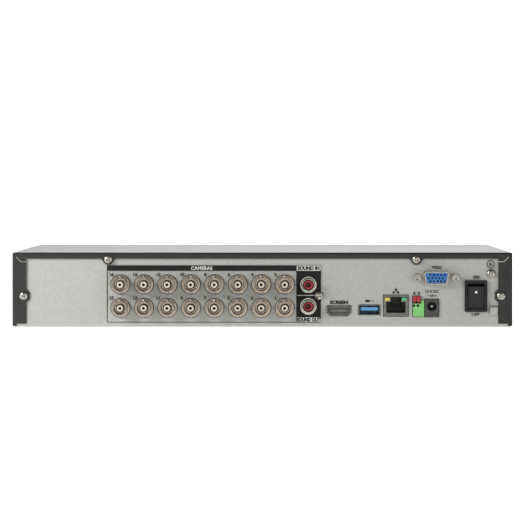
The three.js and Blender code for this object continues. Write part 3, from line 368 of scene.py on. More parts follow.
def spanned(tree, value, low, high, least=0.0, most=1.0):
    return addNode(tree, "ShaderNodeMapRange", {"Value": value, "From Min": low, "From Max": high,
                                                "To Min": least, "To Max": most}).outputs["Result"]


def twoTone(tree, shader, factor, dark, light):
    mix = addNode(tree, "ShaderNodeMix", {"Factor": factor}, data_type="RGBA")
    mix.inputs[6].default_value = hexColour(dark)
    mix.inputs[7].default_value = hexColour(light)
    tree.links.new(mix.outputs[2], shader.inputs["Base Color"])


def varied(tree, shader, place, patch, dark, light, contrast=1.0):
    # colour that drifts between two tones over patches of a size in mm
    spread = 0.2 / contrast
    drift = spanned(tree, noiseOf(tree, place, patch, 4.0), 0.5 - spread, 0.5 + spread)
    twoTone(tree, shader, drift, dark, light)


def roughened(tree, shader, place, patch, smoothest, roughest):
    span = spanned(tree, noiseOf(tree, place, patch, 3.0), 0.3, 0.7, smoothest, roughest)
    tree.links.new(span, shader.inputs["Roughness"])


def bumped(tree, shader, height, depth, strength):
    # depth in mm
    bump = addNode(tree, "ShaderNodeBump", {"Height": height, "Distance": depth * mm, "Strength": strength})
    tree.links.new(bump.outputs["Normal"], shader.inputs["Normal"])


def powderCoat():
    # fine-texture powder coat on steel: baked, so it is even, faintly pebbled and half matt
    material, tree, shader, place = startMaterial("powder coat on bent steel", 0.42, IOR=1.42)
    varied(tree, shader, place, 14, "#151714", "#191b17")
    roughened(tree, shader, place, 3, 0.38, 0.46)
    bumped(tree, shader, noiseOf(tree, place, 0.5, 2.0), 0.02, 0.5)
    return material


def zincSheet():
    # hot-dip galvanised sheet, skin-passed: small dull spangles of slightly different grey and roll streaks
    material, tree, shader, place = startMaterial("galvanised steel sheet", 0.5, 0.4)
    spangles = {"Vector": place, "Scale": 1 / (1.5 * mm), "Randomness": 1.0}
    cells = addNode(tree, "ShaderNodeTexVoronoi", spangles)
    tones = addNode(tree, "ShaderNodeSeparateColor", {"Color": cells.outputs["Color"]})
    rolled = drawnNoise(tree, place, (17, 17, 1.1), 5.0)
    both = addNode(tree, "ShaderNodeMath", {0: tones.outputs["Red"], 1: rolled}, operation="ADD")
    twoTone(tree, shader, spanned(tree, both.outputs["Value"], 0.2, 1.8), "#959691", "#9fa09b")
    rough = spanned(tree, tones.outputs["Green"], 0.0, 1.0, 0.44, 0.56)
    tree.links.new(rough, shader.inputs["Roughness"])
    bumped(tree, shader, rolled, 0.01, 0.4)
    return material


def platedMetal(name, dark, light, smoothest, roughest):
    # die-cast or pressed metal with a plated skin: colour drifts a little and small dents scatter the shine
    material, tree, shader, place = startMaterial(name, smoothest, 1.0)
    varied(tree, shader, place, 2.5, dark, light)
    roughened(tree, shader, place, 1.2, smoothest, roughest)
    bumped(tree, shader, noiseOf(tree, place, 1.1, 2.0), 0.008, 0.4)
    return material


def mouldedPlastic(name, dark, light, roughness, grain=0.3, depth=0.012, **sockets):
    # injection-moulded plastic: the mould's spark-eroded grain and a faint flow mottle
    material, tree, shader, place = startMaterial(name, roughness, 0.0, IOR=1.5, **sockets)
    varied(tree, shader, place, 6, dark, light)
    roughened(tree, shader, place, 1.5, max(roughness - 0.05, 0.05), roughness + 0.05)
    bumped(tree, shader, noiseOf(tree, place, grain, 2.0), depth, 0.6)
    return material


def printedInk(name, colour, worn):
    # screen-printed ink: flat, with a slightly broken tone where the screen let less through
    material, tree, shader, place = startMaterial(name, 0.7, IOR=1.35)
    varied(tree, shader, place, 0.8, colour, worn, 0.8)
    return material


def circuitBoard():
    # fibreglass board under green solder mask: copper tracks show through as paler lines
    material, tree, shader, place = startMaterial("solder mask on fibreglass", 0.35, IOR=1.5)
    tracks = addNode(tree, "ShaderNodeTexBrick", {
        "Vector": place, "Scale": 1.0,
        "Mortar Size": 0.25 * mm, "Brick Width": 4.5 * mm, "Row Height": 1.3 * mm,
        "Color1": hexColour("#155236"), "Color2": hexColour("#1a5c3c"), "Mortar": hexColour("#2c7a4f")})
    tree.links.new(tracks.outputs["Color"], shader.inputs["Base Color"])
    bumped(tree, shader, tracks.outputs["Fac"], 0.03, 0.6)
    return material


def brushedAluminium():
    # extruded aluminium with a clear anodised skin: long drawing lines along the fins
    material, tree, shader, place = startMaterial("anodised aluminium", 0.35, 1.0)
    varied(tree, shader, place, 9, "#a6aaad", "#b8bcbf")
    bumped(tree, shader, drawnNoise(tree, place, (0.4, 25, 0.4), 3.0), 0.02, 0.5)
    return material


def castMetal():
    # die-cast aluminium drive body: sand-blasted, so it is matt with a coarse skin
    material, tree, shader, place = startMaterial("blasted die-cast aluminium", 0.5, 0.9)
    varied(tree, shader, place, 8, "#83878a", "#95999c")
    bumped(tree, shader, noiseOf(tree, place, 0.6, 3.0), 0.03, 0.6)
    return material


def litStage():
    # opal acrylic light table: it scatters the lamps' light and glows a little from below
    material, tree, shader, place = startMaterial("opal acrylic light table", 0.9, Emission_Strength=1.0)
    varied(tree, shader, place, 500, "#f6f6f6", "#fafafa")
    shader.inputs["Emission Color"].default_value = (1, 1, 1, 1)
    return material


coverPaint = powderCoat()
zinc = zincSheet()
nickel = platedMetal("nickel-plated zinc casting", "#8c8274", "#aba190", 0.2, 0.32)
paleNickel = platedMetal("bright nickel-plated brass", "#98948c", "#b2aea7", 0.16, 0.26)
brightSteel = platedMetal("bright zinc-plated steel", "#8f8b83", "#a6a29a", 0.2, 0.3)
dullSteel = platedMetal("tin-plated spring steel", "#62605c", "#74726d", 0.3, 0.42)
gold = platedMetal("gold-flashed contact", "#b98f3c", "#d0a852", 0.2, 0.3)
greyPlastic = mouldedPlastic("grey socket plastic", "#5a5a57", "#666663", 0.45)
blackPlastic = mouldedPlastic("black glass-filled plastic", "#151616", "#1b1c1c", 0.45)
creamPlastic = mouldedPlastic("cream insulator plastic", "#bab09f", "#c5bbaa", 0.45)
jackPlastic = mouldedPlastic("dark grey jack plastic", "#2e2e2d", "#343433", 0.5)
rockerPlastic = mouldedPlastic("dark grey switch plastic", "#0e0f0d", "#131411", 0.42,
                               Specular_IOR_Level=0.28)
redPlastic = mouldedPlastic("red insulator plastic", "#7d161d", "#8f1d24", 0.35)
bluePlastic = mouldedPlastic("blue socket plastic", "#1f5890", "#26619c", 0.38)
paleBluePlastic = mouldedPlastic("pale blue socket plastic", "#4279a8", "#4d85b4", 0.38)
greenPlastic = mouldedPlastic("light green terminal plastic", "#5f9c55", "#6aab60", 0.42)
bezelPlastic = mouldedPlastic("black textured ABS", "#1b1c1d", "#222324", 0.48, grain=0.45, depth=0.03)
windowPlastic = mouldedPlastic("polished smoked acrylic", "#07080a", "#0b0c0e", 0.08,
                               depth=0.001, Coat_Weight=0.5)
yellowLens = mouldedPlastic("yellow diffusing lamp resin", "#a89a3a", "#b8a848", 0.3)
greenLens = mouldedPlastic("green diffusing lamp resin", "#3f8a5e", "#4c9a6c", 0.3)
rubber = mouldedPlastic("black nitrile rubber", "#121212", "#191919", 0.75, grain=0.6, depth=0.03)
jacketVinyl = mouldedPlastic("black vinyl cable jacket", "#1d1e20", "#26272a", 0.55)
boardMask = circuitBoard()
aluminium = brushedAluminium()
casting = castMetal()
darkInk = printedInk("black screen ink", "#070806", "#0c0d0a")
lightInk = printedInk("light screen ink", "#b6b8b3", "#c2c4bf")
whiteInk = printedInk("white pad-printed ink", "#d0d0cc", "#dcdcd8")
print("materials ready")


stageSizes = {"width": 9.0, "front": -5.0, "back": 3.0, "height": 3.0, "bend": 1.2, "bendSteps": 8}


def buildStage():
    s = stageSizes
    profile = [(s["front"], 0), (s["back"] - s["bend"], 0)]
    for k in range(s["bendSteps"]):
        angle = (k + 1) / s["bendSteps"] * math.pi / 2
        profile.append((s["back"] - s["bend"] * (1 - math.sin(angle)), s["bend"] * (1 - math.cos(angle))))
    profile.append((s["back"], s["height"]))
    floor = drawLine("paperSweep", [(-s["width"] / 2, y, z) for y, z in profile])
    bpy.ops.mesh.extrude_region_move(TRANSFORM_OT_translate={"value": (s["width"], 0, 0)})
    closeEdit(floor)
    bpy.ops.object.shade_smooth()
    floor.data.materials.append(litStage())


lightRig = {
    "world": 0.12,
    "aim": (0, 0, 0.03),
    "softboxes": [  # name, place, size, watts
        ("keyBox", (-1.1, -1.4, 0.7), 0.35, 14.5),
        ("leftBox", (-0.42, -0.38, 0.2), 0.15, 1.2),
        ("fillBox", (1.2, -1.5, 0.6), 0.7, 5.0),
        ("frontBox", (0.25, -2.0, 0.3), 0.5, 1.2),
        ("backBox", (0.3, 2.3, 1.6), 1.4, 16.0),
    ],
}


def buildLights():
    world = bpy.data.worlds.new("pale studio")
    bpy.context.scene.world = world
    world.use_nodes = True
    sky = world.node_tree.nodes["Background"]
    sky.inputs["Color"].default_value = (1, 1, 1, 1)
    sky.inputs["Strength"].default_value = lightRig["world"]
    for name, place, size, watts in lightRig["softboxes"]:
        lamp = bpy.data.lights.new(name, "AREA")
        lamp.shape = "SQUARE"
        lamp.size = size
        lamp.energy = watts
        box = bpy.data.objects.new(name, lamp)
        bpy.context.collection.objects.link(box)
        box.location = place
        box.rotation_euler = (Vector(lightRig["aim"]) - Vector(place)).to_track_quat("-Z", "Y").to_euler()


cameraSetup = {"lens": 238.4, "sensor": 36, "farthest": 50, "distance": 2.257, "right": 0.0089,
               "aboveTop": 0.0515, "pitch": 1.475, "yaw": 0.2225}


def placeCamera():
    c = cameraSetup
    data = bpy.data.cameras.new("camera")
    data.lens = c["lens"]
    data.sensor_width = c["sensor"]
    data.clip_end = c["farthest"]
    camera = bpy.data.objects.new("camera", data)
    bpy.context.collection.objects.link(camera)
    camera.location = (c["right"], wallY - c["distance"], caseTop + c["aboveTop"])
    camera.rotation_euler = (math.radians(90 - c["pitch"]), 0, math.radians(c["yaw"]))
    bpy.context.scene.camera = camera


buildStage()
buildLights()
placeCamera()
bpy.context.scene.view_settings.view_transform = "Standard"
print("stage, lights and camera ready")


sheetSizes = {"coverEdge": 0.12, "trayEdge": 0.1, "edgeWidth": 0.5, "edgeFrom": 0.2, "edgeTo": 0.7,
              "relief": ((9.2, 6.1), (5.6, 6.1), (2.6, 3.1))}


def buildSheets():
    s = sheetSizes
    finishFrameShape("top_cover", s["coverEdge"], coverPaint, "cover_paint")
    low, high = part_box("top_cover")
    for name, side, edge in (("Left", -1, low.x), ("Right", 1, high.x)):
        # bright steel bars filling the corner relief slit: the sheet's bare cut edge, and a painted highlight
        # where the slit shows light
        stops = [Vector((edge - side * inwards * mm, high.z - drop * mm)) for inwards, drop in s["relief"]]
        bars = []
        for a, b in zip(stops, stops[1:]):
            across = (b - a).normalized().orthogonal() * s["edgeWidth"] * mm / 2
            bars.append(addPrism("bar", [a + across, b + across, b - across, a - across],
                                 low.y + s["edgeFrom"] * mm, low.y + s["edgeTo"] * mm))
        finishPiece(joinPieces("coverCutEdge" + name, bars), brightSteel, "bright_steel")
    finishFrameShape("base_tray", s["trayEdge"], zinc, "zinc_steel")


screwSizes = {"headRadius": 2.8, "headHeight": 2.0, "domeSteps": 7, "shankRadius": 1.45, "shankLength": 6.0,
              "crossWidth": 0.95, "crossSpan": 4.0, "crossDepth": 1.3, "crossTaper": 0.62}


def buildScrews():
    s = screwSizes
    angles = [k / s["domeSteps"] * math.pi / 2 for k in range(s["domeSteps"] + 1)]
    profile = [(s["headRadius"] * math.sin(a), -s["headHeight"] * (0.3 + 0.7 * math.cos(a))) for a in angles]
    profile += [(s["headRadius"], -0.12), (s["headRadius"] - 0.15, 0), (s["shankRadius"], 0),
                (s["shankRadius"], s["shankLength"] - 0.5), (s["shankRadius"] - 0.4, s["shankLength"]),
                (0, s["shankLength"])]
    head = spinProfile("panHead", profile, (0, 0, 0), 0, 40)
    top = -s["headHeight"] * mm
    for along, across in ((s["crossSpan"], s["crossWidth"]), (s["crossWidth"], s["crossSpan"])):
        x, z = along * mm / 2, across * mm / 2
        cutter = addPrism("crossCutter", boxOutline(-x, x, -z, z), top - 0.5 * mm, top + s["crossDepth"] * mm)
        startEdit(cutter)
        pickFaces(cutter, lambda spot, normal: normal.y > 0.9)
        bpy.ops.transform.resize(value=(s["crossTaper"], 1, s["crossTaper"]))  # narrower towards its floor
        endEdit()
        cutAway(head, cutter)
    roundEdges(head, 0.07, 2, 40)
    for node in screwNodes:
        centre = middle(node)
        seat = (centre.x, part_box(node)[0].y + s["headHeight"] * mm, centre.z)
        screw = copyPiece(head, titled(node), seat, random.uniform(0, math.pi / 2))
        finishPiece(screw, brightSteel, "bright_steel", node)
    bpy.data.objects.remove(head, do_unlink=True)


bncSizes = {"reach": 11.0, "mouth": 4.83, "bore": 4.05, "floor": 3.0, "throat": 2.9, "neck": 5.2,
            "flange": 6.2, "flangeThick": 1.8, "groove": 0.45, "grooveDepth": 0.6,
            "washer": 6.5, "washerThick": 0.6,
            "collarEnd": 3.0, "lug": 1.0, "lugReach": 5.5, "lugFromMouth": 4.8, "nose": 2.15, "noseBore": 1.0,
            "noseBack": 1.4, "contact": 0.95, "play": 0.05}


def buildCoaxialSockets():
    b = bncSizes
    centre = middle(barrelNodes[0])
    mouth, bore, neck, rim, back = b["mouth"], b["bore"], b["neck"], b["flange"] - 0.2, b["collarEnd"]
    end, plate, floor, seat = -b["reach"], -b["flangeThick"], -b["floor"], -b["washerThick"] - 0.1
    barrel = spinProfile("barrel", [
        (bore + 0.12, end), (mouth - 0.18, end), (mouth, end + 0.25), (mouth, plate - 1.6),
        (mouth - 0.3, plate - 1.3), (mouth - 0.3, plate - 0.1), (rim - b["groove"], plate - 0.1),
        (rim - b["groove"], plate + b["grooveDepth"]), (rim, plate + b["grooveDepth"]),
        (rim + 0.05, plate + 0.1), (b["flange"], plate + 0.25), (b["flange"], seat - 0.2), (rim, seat),
        (neck, seat), (neck, back), (b["throat"], back), (b["throat"], floor), (bore - 0.25, floor),
        (bore, floor - 0.25), (bore, end + 0.2), (bore + 0.12, end)], centre, wallY)
    lugY = wallY + (end + b["lugFromMouth"]) * mm
    lugs = []
    for side in (-1, 1):
        root, tip = ((centre.x, lugY, centre.z + side * out * mm) for out in (bore + 0.3, b["lugReach"]))
        lugs.append(roundEdges(addRod("lug", b["lug"], root, tip, 20), 0.15, 2, 50))
    barrel = joinPieces("barrel", [barrel] + lugs)
    tip, back, hole, pin = end + b["noseBack"], back + 1, b["noseBore"], b["contact"]
    nose = spinProfile("nose", [
        (0, back), (b["nose"], back), (b["nose"], tip + 0.3), (b["nose"] - 0.3, tip), (hole + 0.2, tip),
        (hole, tip + 0.2), (hole, tip + 9.5), (0, tip + 9.5)], centre, wallY, 32)
    contact = spinProfile("contact", [
        (pin, tip + 9.4), (pin, tip + 8.3), (pin - 0.12, tip + 8.2), (0.62, tip + 8.4), (0.55, tip + 9.4),
        (pin, tip + 9.4)], centre, wallY, 20)
    # a black washer behind each flange: painted shadow, drawing the dark shadow ring round the flange
    inner, outer, face = neck + 0.1, b["washer"], -b["washerThick"]
    washer = spinProfile("washer", [
        (inner, -0.1), (inner, face), (outer, face), (outer, -0.1), (inner, -0.1)], centre, wallY)
    for i, node in enumerate(barrelNodes):
        shift, number = middle(node) - centre, "%02d" % (i + 1)
        turn = random.uniform(-b["play"], b["play"])
        finishPiece(copyPiece(barrel, "coaxBarrel" + number, shift, turn, centre), nickel, "nickel", node)
        finishPiece(copyPiece(nose, "coaxNose" + number, shift), creamPlastic, "cream_plastic", "bnc_housing")
        finishPiece(copyPiece(contact, "coaxContact" + number, shift), gold, "nickel")
        finishPiece(copyPiece(washer, "coaxWasher" + number, shift), blackPlastic, "black_plastic")
    for pattern in (barrel, nose, contact, washer):
        bpy.data.objects.remove(pattern, do_unlink=True)
    low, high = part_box("bnc_housing")
    housing = addBlock("coaxHousing", (low.x, wallY + (b["collarEnd"] + 0.1) * mm, low.z), high)
    # moulded recesses on top and back
    insetFaces(housing, lambda spot, normal: normal.z > 0.9 or normal.y > 0.9, 1.2, -0.6)
    finishPiece(roundEdges(housing, 0.3), blackPlastic, "black_plastic", "bnc_housing")


audioSizes = {"reach": 9.5, "sleeve": 4.15, "insert": 3.4, "flange": 5.5, "flangeThick": 1.1, "bore": 1.45,
              "collarEnd": 3.0, "recess": 1.9}


def buildAudioJacks():
    a = audioSizes
    sleeve, insert, flange, bore = a["sleeve"], a["insert"], a["flange"], a["bore"]
    mouth, end, plate, wall = -a["reach"], a["collarEnd"], -a["flangeThick"], insert + 0.1
    tip = mouth + a["recess"]
    for use in ("out", "in"):
        centre = middle("audio_jack_sleeve_" + use)
        finishPiece(spinProfile("audioSleeve" + use.title(), [
            (wall, mouth + 0.15), (wall + 0.15, mouth), (sleeve - 0.2, mouth), (sleeve, mouth + 0.25),
            (sleeve, plate - 0.6), (sleeve + 0.4, plate - 0.1), (flange - 0.3, plate - 0.1),
            (flange, plate + 0.2), (flange, -0.1), (sleeve, -0.1), (sleeve, end), (wall, end),
            (wall, mouth + 0.15)], centre, wallY),
            paleNickel, "nickel", "audio_jack_sleeve_" + use)
        finishPiece(spinProfile("audioInsert" + use.title(), [
            (0, end), (insert, end), (insert, tip + 1.1), (insert - 0.6, tip), (bore + 0.4, tip),
            (bore, tip + 0.7), (bore, tip + 6), (0, tip + 6)], centre, wallY, 40),
            redPlastic, "red_plastic", "audio_jack_insert_" + use)
        finishPiece(spinProfile("audioContact" + use.title(), [
            (1.4, tip + 5.9), (1.4, tip + 4), (1.2, tip + 3.4), (1.1, tip + 4), (1.15, tip + 5.9),
            (1.4, tip + 5.9)], centre, wallY, 24), dullSteel, "dark_steel")
    finishFrameShape("audio_jack_housing", 0.3, blackPlastic, "black_plastic")


videoSizes = {"wall": 0.65, "cut": 2.45, "corner": 0.5, "tongueWidth": 11.6, "tongueThick": 1.2,
              "contacts": 9, "backFromMouth": 3.2, "flapIn": 3.9}


def buildVideoSocket():
    v = videoSizes
    low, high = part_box("video_socket_shell")
    middleX, middleZ = (low.x + high.x) / 2, (low.z + high.z) / 2
    cut, flapIn = v["cut"] * mm, v["flapIn"] * mm
    corners = [(low.x + cut, low.z), (high.x - cut, low.z), (high.x, low.z + cut), (high.x, high.z),
               (low.x, high.z), (low.x, low.z + cut)]
    outline = roundCorners(corners, v["corner"] * mm, 3)
    shell = [roundEdges(addSheetTube("videoSocketShell", outline, low.y, high.y, v["wall"]), 0.12, 2, 50)]
    for x in (low.x + flapIn, high.x - flapIn):
        flap = addBlockAt("springFlap", (x, low.y, high.z), (-1.3, 2, -0.95), (1.3, 6.5, -0.6))
        shell.append(roundEdges(flap, 0.12))
    finishPiece(joinPieces("videoSocketShell", shell), dullSteel, "dark_steel", "video_socket_shell")
    tLow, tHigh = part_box("video_socket_tongue")
    half, thick = v["tongueWidth"] * mm / 2, v["tongueThick"] * mm / 2
    tongue = addBlock("videoSocketTongue", (middleX - half, tLow.y, middleZ - thick),
                      (middleX + half, tHigh.y - mm, middleZ + thick))
    roundEdges(tongue, 0.2)
    inner = [(middleX + (x - middleX) * 0.93, middleZ + (z - middleZ) * 0.85) for x, z in corners]
    back = addPrism("videoSocketBack", inner, low.y + v["backFromMouth"] * mm, tHigh.y)
    finishPiece(joinPieces("videoSocketTongue", [tongue, back]), greyPlastic, "black_plastic",
                "video_socket_tongue")
    thick += 0.06 * mm
    addContacts("videoSocketContacts", v["contacts"], v["tongueWidth"] / (v["contacts"] + 1), middleX, 0.22,
                (tLow.y + 0.5 * mm, tHigh.y - 3 * mm), (middleZ - thick, middleZ + thick), 0.05)


usbSizes = {"wall": 0.4, "corner": 0.5, "tongueWidth": 11.2, "tongueTop": 1.75, "tongueThick": 2.1,
            "springIn": 3.6, "contacts": 4, "contactPitch": 2.2}


def buildUsbSocket():
    u = usbSizes
    low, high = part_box("usb_socket_shell")
    outline = boxOutline(low.x, high.x, low.z, high.z, u["corner"] * mm, 3)
    shell = [roundEdges(addSheetTube("usbSocketShell", outline, low.y, high.y, u["wall"]), 0.12, 2, 50)]
    for x in (low.x + u["springIn"] * mm, high.x - u["springIn"] * mm):
        for z in (low.z + 0.55 * mm, high.z - 0.55 * mm):
            leaf = addBlockAt("spring", (x, low.y, z), (-0.9, 1.2, -0.2), (0.9, 5.5, 0.2))
            shell.append(roundEdges(leaf, 0.14))
    finishPiece(joinPieces("usbSocketShell", shell), dullSteel, "bright_steel", "usb_socket_shell")
    tLow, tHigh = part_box("usb_socket_tongue")
    middleX, top = (low.x + high.x) / 2, (low.z + high.z) / 2 + u["tongueTop"] * mm
    half, under = u["tongueWidth"] * mm / 2, top - u["tongueThick"] * mm
    outline = boxOutline(middleX - half, middleX + half, under, top, 0.25 * mm, 2)
    tongue = roundEdges(addPrism("usbSocketTongue", outline, tLow.y, tHigh.y - mm), 0.15, 2, 50)
    back = roundEdges(addBlock("usbBack", (tLow.x, tHigh.y - 4 * mm, tLow.z), tHigh), 0.2)
    finishPiece(joinPieces("usbSocketTongue", [tongue, back]), paleBluePlastic, "blue_plastic",
                "usb_socket_tongue")
    addContacts("usbSocketContacts", u["contacts"], u["contactPitch"], middleX, 0.5,
                (tLow.y + 0.8 * mm, tHigh.y - 4 * mm), (under - 0.12 * mm, under + 0.1 * mm), 0.06)


networkSizes = {"contacts": 8, "contactPitch": 1.02, "wire": 0.18,
                "wirePath": ((6.2, 9.0), (6.6, 8.3), (13.0, 5.0)),
                "lampOut": 7.2, "lampWide": 3.4, "lampFoot": 9.6, "lampTop": 12.15}


def buildNetworkJack():
    n = networkSizes
    finishFrameShape("network_jack_shell", 0.12, dullSteel, "dark_steel")
    finishFrameShape("network_jack_insert", 0.15, blackPlastic, "black_plastic")
    low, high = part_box("network_jack_shell")
    middleX = (low.x + high.x) / 2
    wires = []
    for i in range(n["contacts"]):
        x = middleX + (i - (n["contacts"] - 1) / 2) * n["contactPitch"] * mm
        stops = [(x, low.y + y * mm, low.z + z * mm) for y, z in n["wirePath"]]
        wires += [addRod("wire", n["wire"], start, end, 8) for start, end in zip(stops, stops[1:])]
    finishPiece(joinPieces("networkContacts", wires), gold, "nickel")
    for side, name, lens in ((-1, "networkLampYellow", yellowLens), (1, "networkLampGreen", greenLens)):
        ends = sorted(middleX + side * out * mm for out in (n["lampOut"], n["lampOut"] - n["lampWide"]))
        outline = boxOutline(*ends, low.z + n["lampFoot"] * mm, low.z + n["lampTop"] * mm, 0.5 * mm, 3)
        lamp = addPrism(name, outline, low.y + 0.25 * mm, low.y + 1.0 * mm)
        insetFaces(lamp, lambda spot, normal: normal.y < -0.9, 0.45, 0.15)  # a raised lens on the window
        finishPiece(roundEdges(lamp, 0.08), lens, "cream_plastic")


terminalSizes = {"edge": 0.15, "buttonEdge": 0.15}


def buildTerminalBlock():
    finishFrameShape("terminal_block", terminalSizes["edge"], greenPlastic, "green_plastic")
    for pole in ("a", "b"):
        node = "terminal_button_" + pole
        button = roundEdges(finishedCopy(node), terminalSizes["buttonEdge"])
        finishPiece(button, redPlastic, "red_plastic", node, body="button_" + pole)


powerSizes = {"bore": 3.15, "boreDepth": 10.0, "ringOuter": 3.75, "pin": 1.05, "pinDepth": 16.0,
              "boreHeight": 13.5}


def buildPowerJack():
    p = powerSizes
    low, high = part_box("power_jack_body")
    x, z = (low.x + high.x) / 2, caseBottom + p["boreHeight"] * mm
    centre, bore, ring, pin = (x, low.y, z), p["bore"], p["ringOuter"], p["pin"]
    body = addBlock("powerJackBody", low, high)
    for radius, depth in ((bore, p["boreDepth"]), (pin + 0.1, p["pinDepth"])):
        cutAway(body, addPin("boreCutter", radius, x, z, low.y - mm, low.y + depth * mm, 48))
    roundEdges(body, 0.2)
    ring = spinProfile("jackRing", [
        (bore, 0.05), (bore, -0.22), (ring - 0.15, -0.22), (ring, -0.08), (ring, 0.05), (bore, 0.05)],
        centre, low.y)
    finishPiece(joinPieces("powerJackBody", [body, ring]), jackPlastic, "grey_plastic", "power_jack_body")
    pLow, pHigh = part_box("power_jack_pin")
    end = (pHigh.y - pLow.y) / mm
    finishPiece(spinProfile("powerJackPin", [
        (0, 1.2), (0.35, 1.2), (0.35, 0.1), (0.5, 0), (pin - 0.3, 0), (pin, 0.4), (pin, end), (0, end)],
        centre, pLow.y, 28), paleNickel, "nickel", "power_jack_pin")
    outline = boxOutline(x - 1.2 * mm, x + 1.2 * mm, z - 3.0 * mm, z - 2.6 * mm)
    spring = addSheetTube("powerJackSpring", outline, low.y + 4 * mm, low.y + 9 * mm, 0.1)
    finishPiece(spring, dullSteel, "dark_steel")


monitorSizes = {"width": 16.9, "tall": 8.6, "corner": 1.68, "slant": 0.176, "wall": 0.9, "reach": 5.8,
                "plate": 0.8, "nutAcross": 4.75, "pinPitch": 2.29, "rowPitch": 1.98, "pinHole": 0.66}


def dOutline(centre, by=0.0):
    # the socket's tapered outline, larger by some mm
    m = monitorSizes
    x, z = centre.x, centre.z
    halfW, halfT = (m["width"] / 2 + by) * mm, (m["tall"] / 2 + by) * mm
    inset = 2 * halfT * m["slant"]
    corners = [(x - halfW + inset, z - halfT), (x + halfW - inset, z - halfT), (x + halfW, z + halfT),
               (x - halfW, z + halfT)]
    return roundCorners(corners, (m["corner"] + by) * mm, 5)


def buildHexNut(name, node):
    low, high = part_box(node)
    x, z = middle(node).x, middle(node).z
    seat = wallY - 0.1 * mm
    clearSelection()
    bpy.ops.mesh.primitive_cylinder_add(
        vertices=6, radius=monitorSizes["nutAcross"] * mm / math.sqrt(3), depth=seat - low.y,
        location=(x, (seat + low.y) / 2, z), rotation=(math.pi / 2, 0, 0))
    nut = bpy.context.object
    bakePlace()
    cutAway(nut, addPin("nutBore", 1.3, x, z, low.y - mm, seat - 1.2 * mm))
    roundEdges(nut, 0.25, 3)
    thread = []
    for k in range(5):  # thread crests inside the bore
        bpy.ops.mesh.primitive_torus_add(
            major_radius=1.28 * mm, minor_radius=0.12 * mm, major_segments=28, minor_segments=8,
            location=(x, low.y + (0.9 + k * 0.6) * mm, z), rotation=(math.pi / 2, 0, 0))
        thread.append(bpy.context.object)
    stud = addPin("stud", 1.35, x, z, seat - 0.2 * mm, high.y, 24)
    finishPiece(joinPieces(name, [nut, stud] + thread), brightSteel, "bright_steel", node)


def buildMonitorSocket():
    m = monitorSizes
    centre = middle("monitor_socket_shell")
    low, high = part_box("monitor_socket_shell")
    skirt = addSheetTube("monitorSocketShell", dOutline(centre), low.y, high.y, m["wall"])
    roundEdges(skirt, 0.15, 2, 50)
    front, back = high.y - m["plate"] * mm, high.y + mm
    plate = addPrism("plate", boxOutline(low.x, high.x, low.z, high.z, 1 * mm), front, high.y)
    cutAway(plate, addPrism("dCutter", dOutline(centre, -0.1), front - mm, back))
    for where in ("left", "right"):
        x = middle("monitor_socket_nut_" + where).x
        cutAway(plate, addPin("studCutter", 1.65, x, centre.z, front - mm, back))
    dimples = []
    for side in (-1, 1):  # grounding dimples pressed into the skirt's long sides
        for dx in (-4.2, 0, 4.2):
            z = centre.z + side * (m["tall"] / 2 - 0.1) * mm
            bpy.ops.mesh.primitive_uv_sphere_add(segments=16, ring_count=8, radius=0.45 * mm,
                                                 location=(centre.x + dx * mm, low.y + 2.6 * mm, z))
            dimples.append(bpy.context.object)
    finishPiece(joinPieces("monitorSocketShell", [skirt, plate] + dimples), brightSteel, "bright_steel",
                "monitor_socket_shell")
    front = wallY + (0.3 - m["reach"]) * mm
    face = addPrism("monitorSocketInsert", dOutline(centre, -1.0), front, back)
    holes = []
    for row in (-1, 0, 1):
        for i in range(5):
            x = centre.x + (i - 2 + (-0.25 if row == 0 else 0.25)) * m["pinPitch"] * mm
            z = centre.z + row * m["rowPitch"] * mm
            holes.append(addPin("pinCutter", m["pinHole"], x, z, front - mm, front + 4 * mm, 20))
    cutAway(face, joinPieces("pinCutters", holes))
    roundEdges(face, 0.12, 2, 50)
    iLow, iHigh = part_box("monitor_socket_insert")
    body = addBlock("monitorBody", (iLow.x, high.y + 0.1 * mm, centre.z - 4.5 * mm),
                    (iHigh.x, iHigh.y, centre.z + 4.5 * mm))
    leg = addBlock("monitorLeg", (iLow.x, iHigh.y - 3.8 * mm, iLow.z),
                   (iHigh.x, iHigh.y, centre.z - 4.4 * mm))
    insert = joinPieces("monitorSocketInsert", [face, roundEdges(body, 0.3), roundEdges(leg, 0.3)])
    finishPiece(insert, bluePlastic, "blue_plastic", "monitor_socket_insert")
    for where in ("left", "right"):
        buildHexNut("monitorNut" + where.title(), "monitor_socket_nut_" + where)


rockerSizes = {"pocketW": 10.8, "pocketT": 16.3, "floor": 7.5, "corner": 0.9, "bodyW": 12.8, "bodyT": 18.8,
               "bodyDeep": 13.0, "bladeX": 3.4, "bladeZ": 3.5, "dot": 0.75, "dotHeight": 3.4,
               "pivotIn": 0.8, "tilt": 12, "waist": 3.1, "halfFace": 7.2, "rise": 1.0}


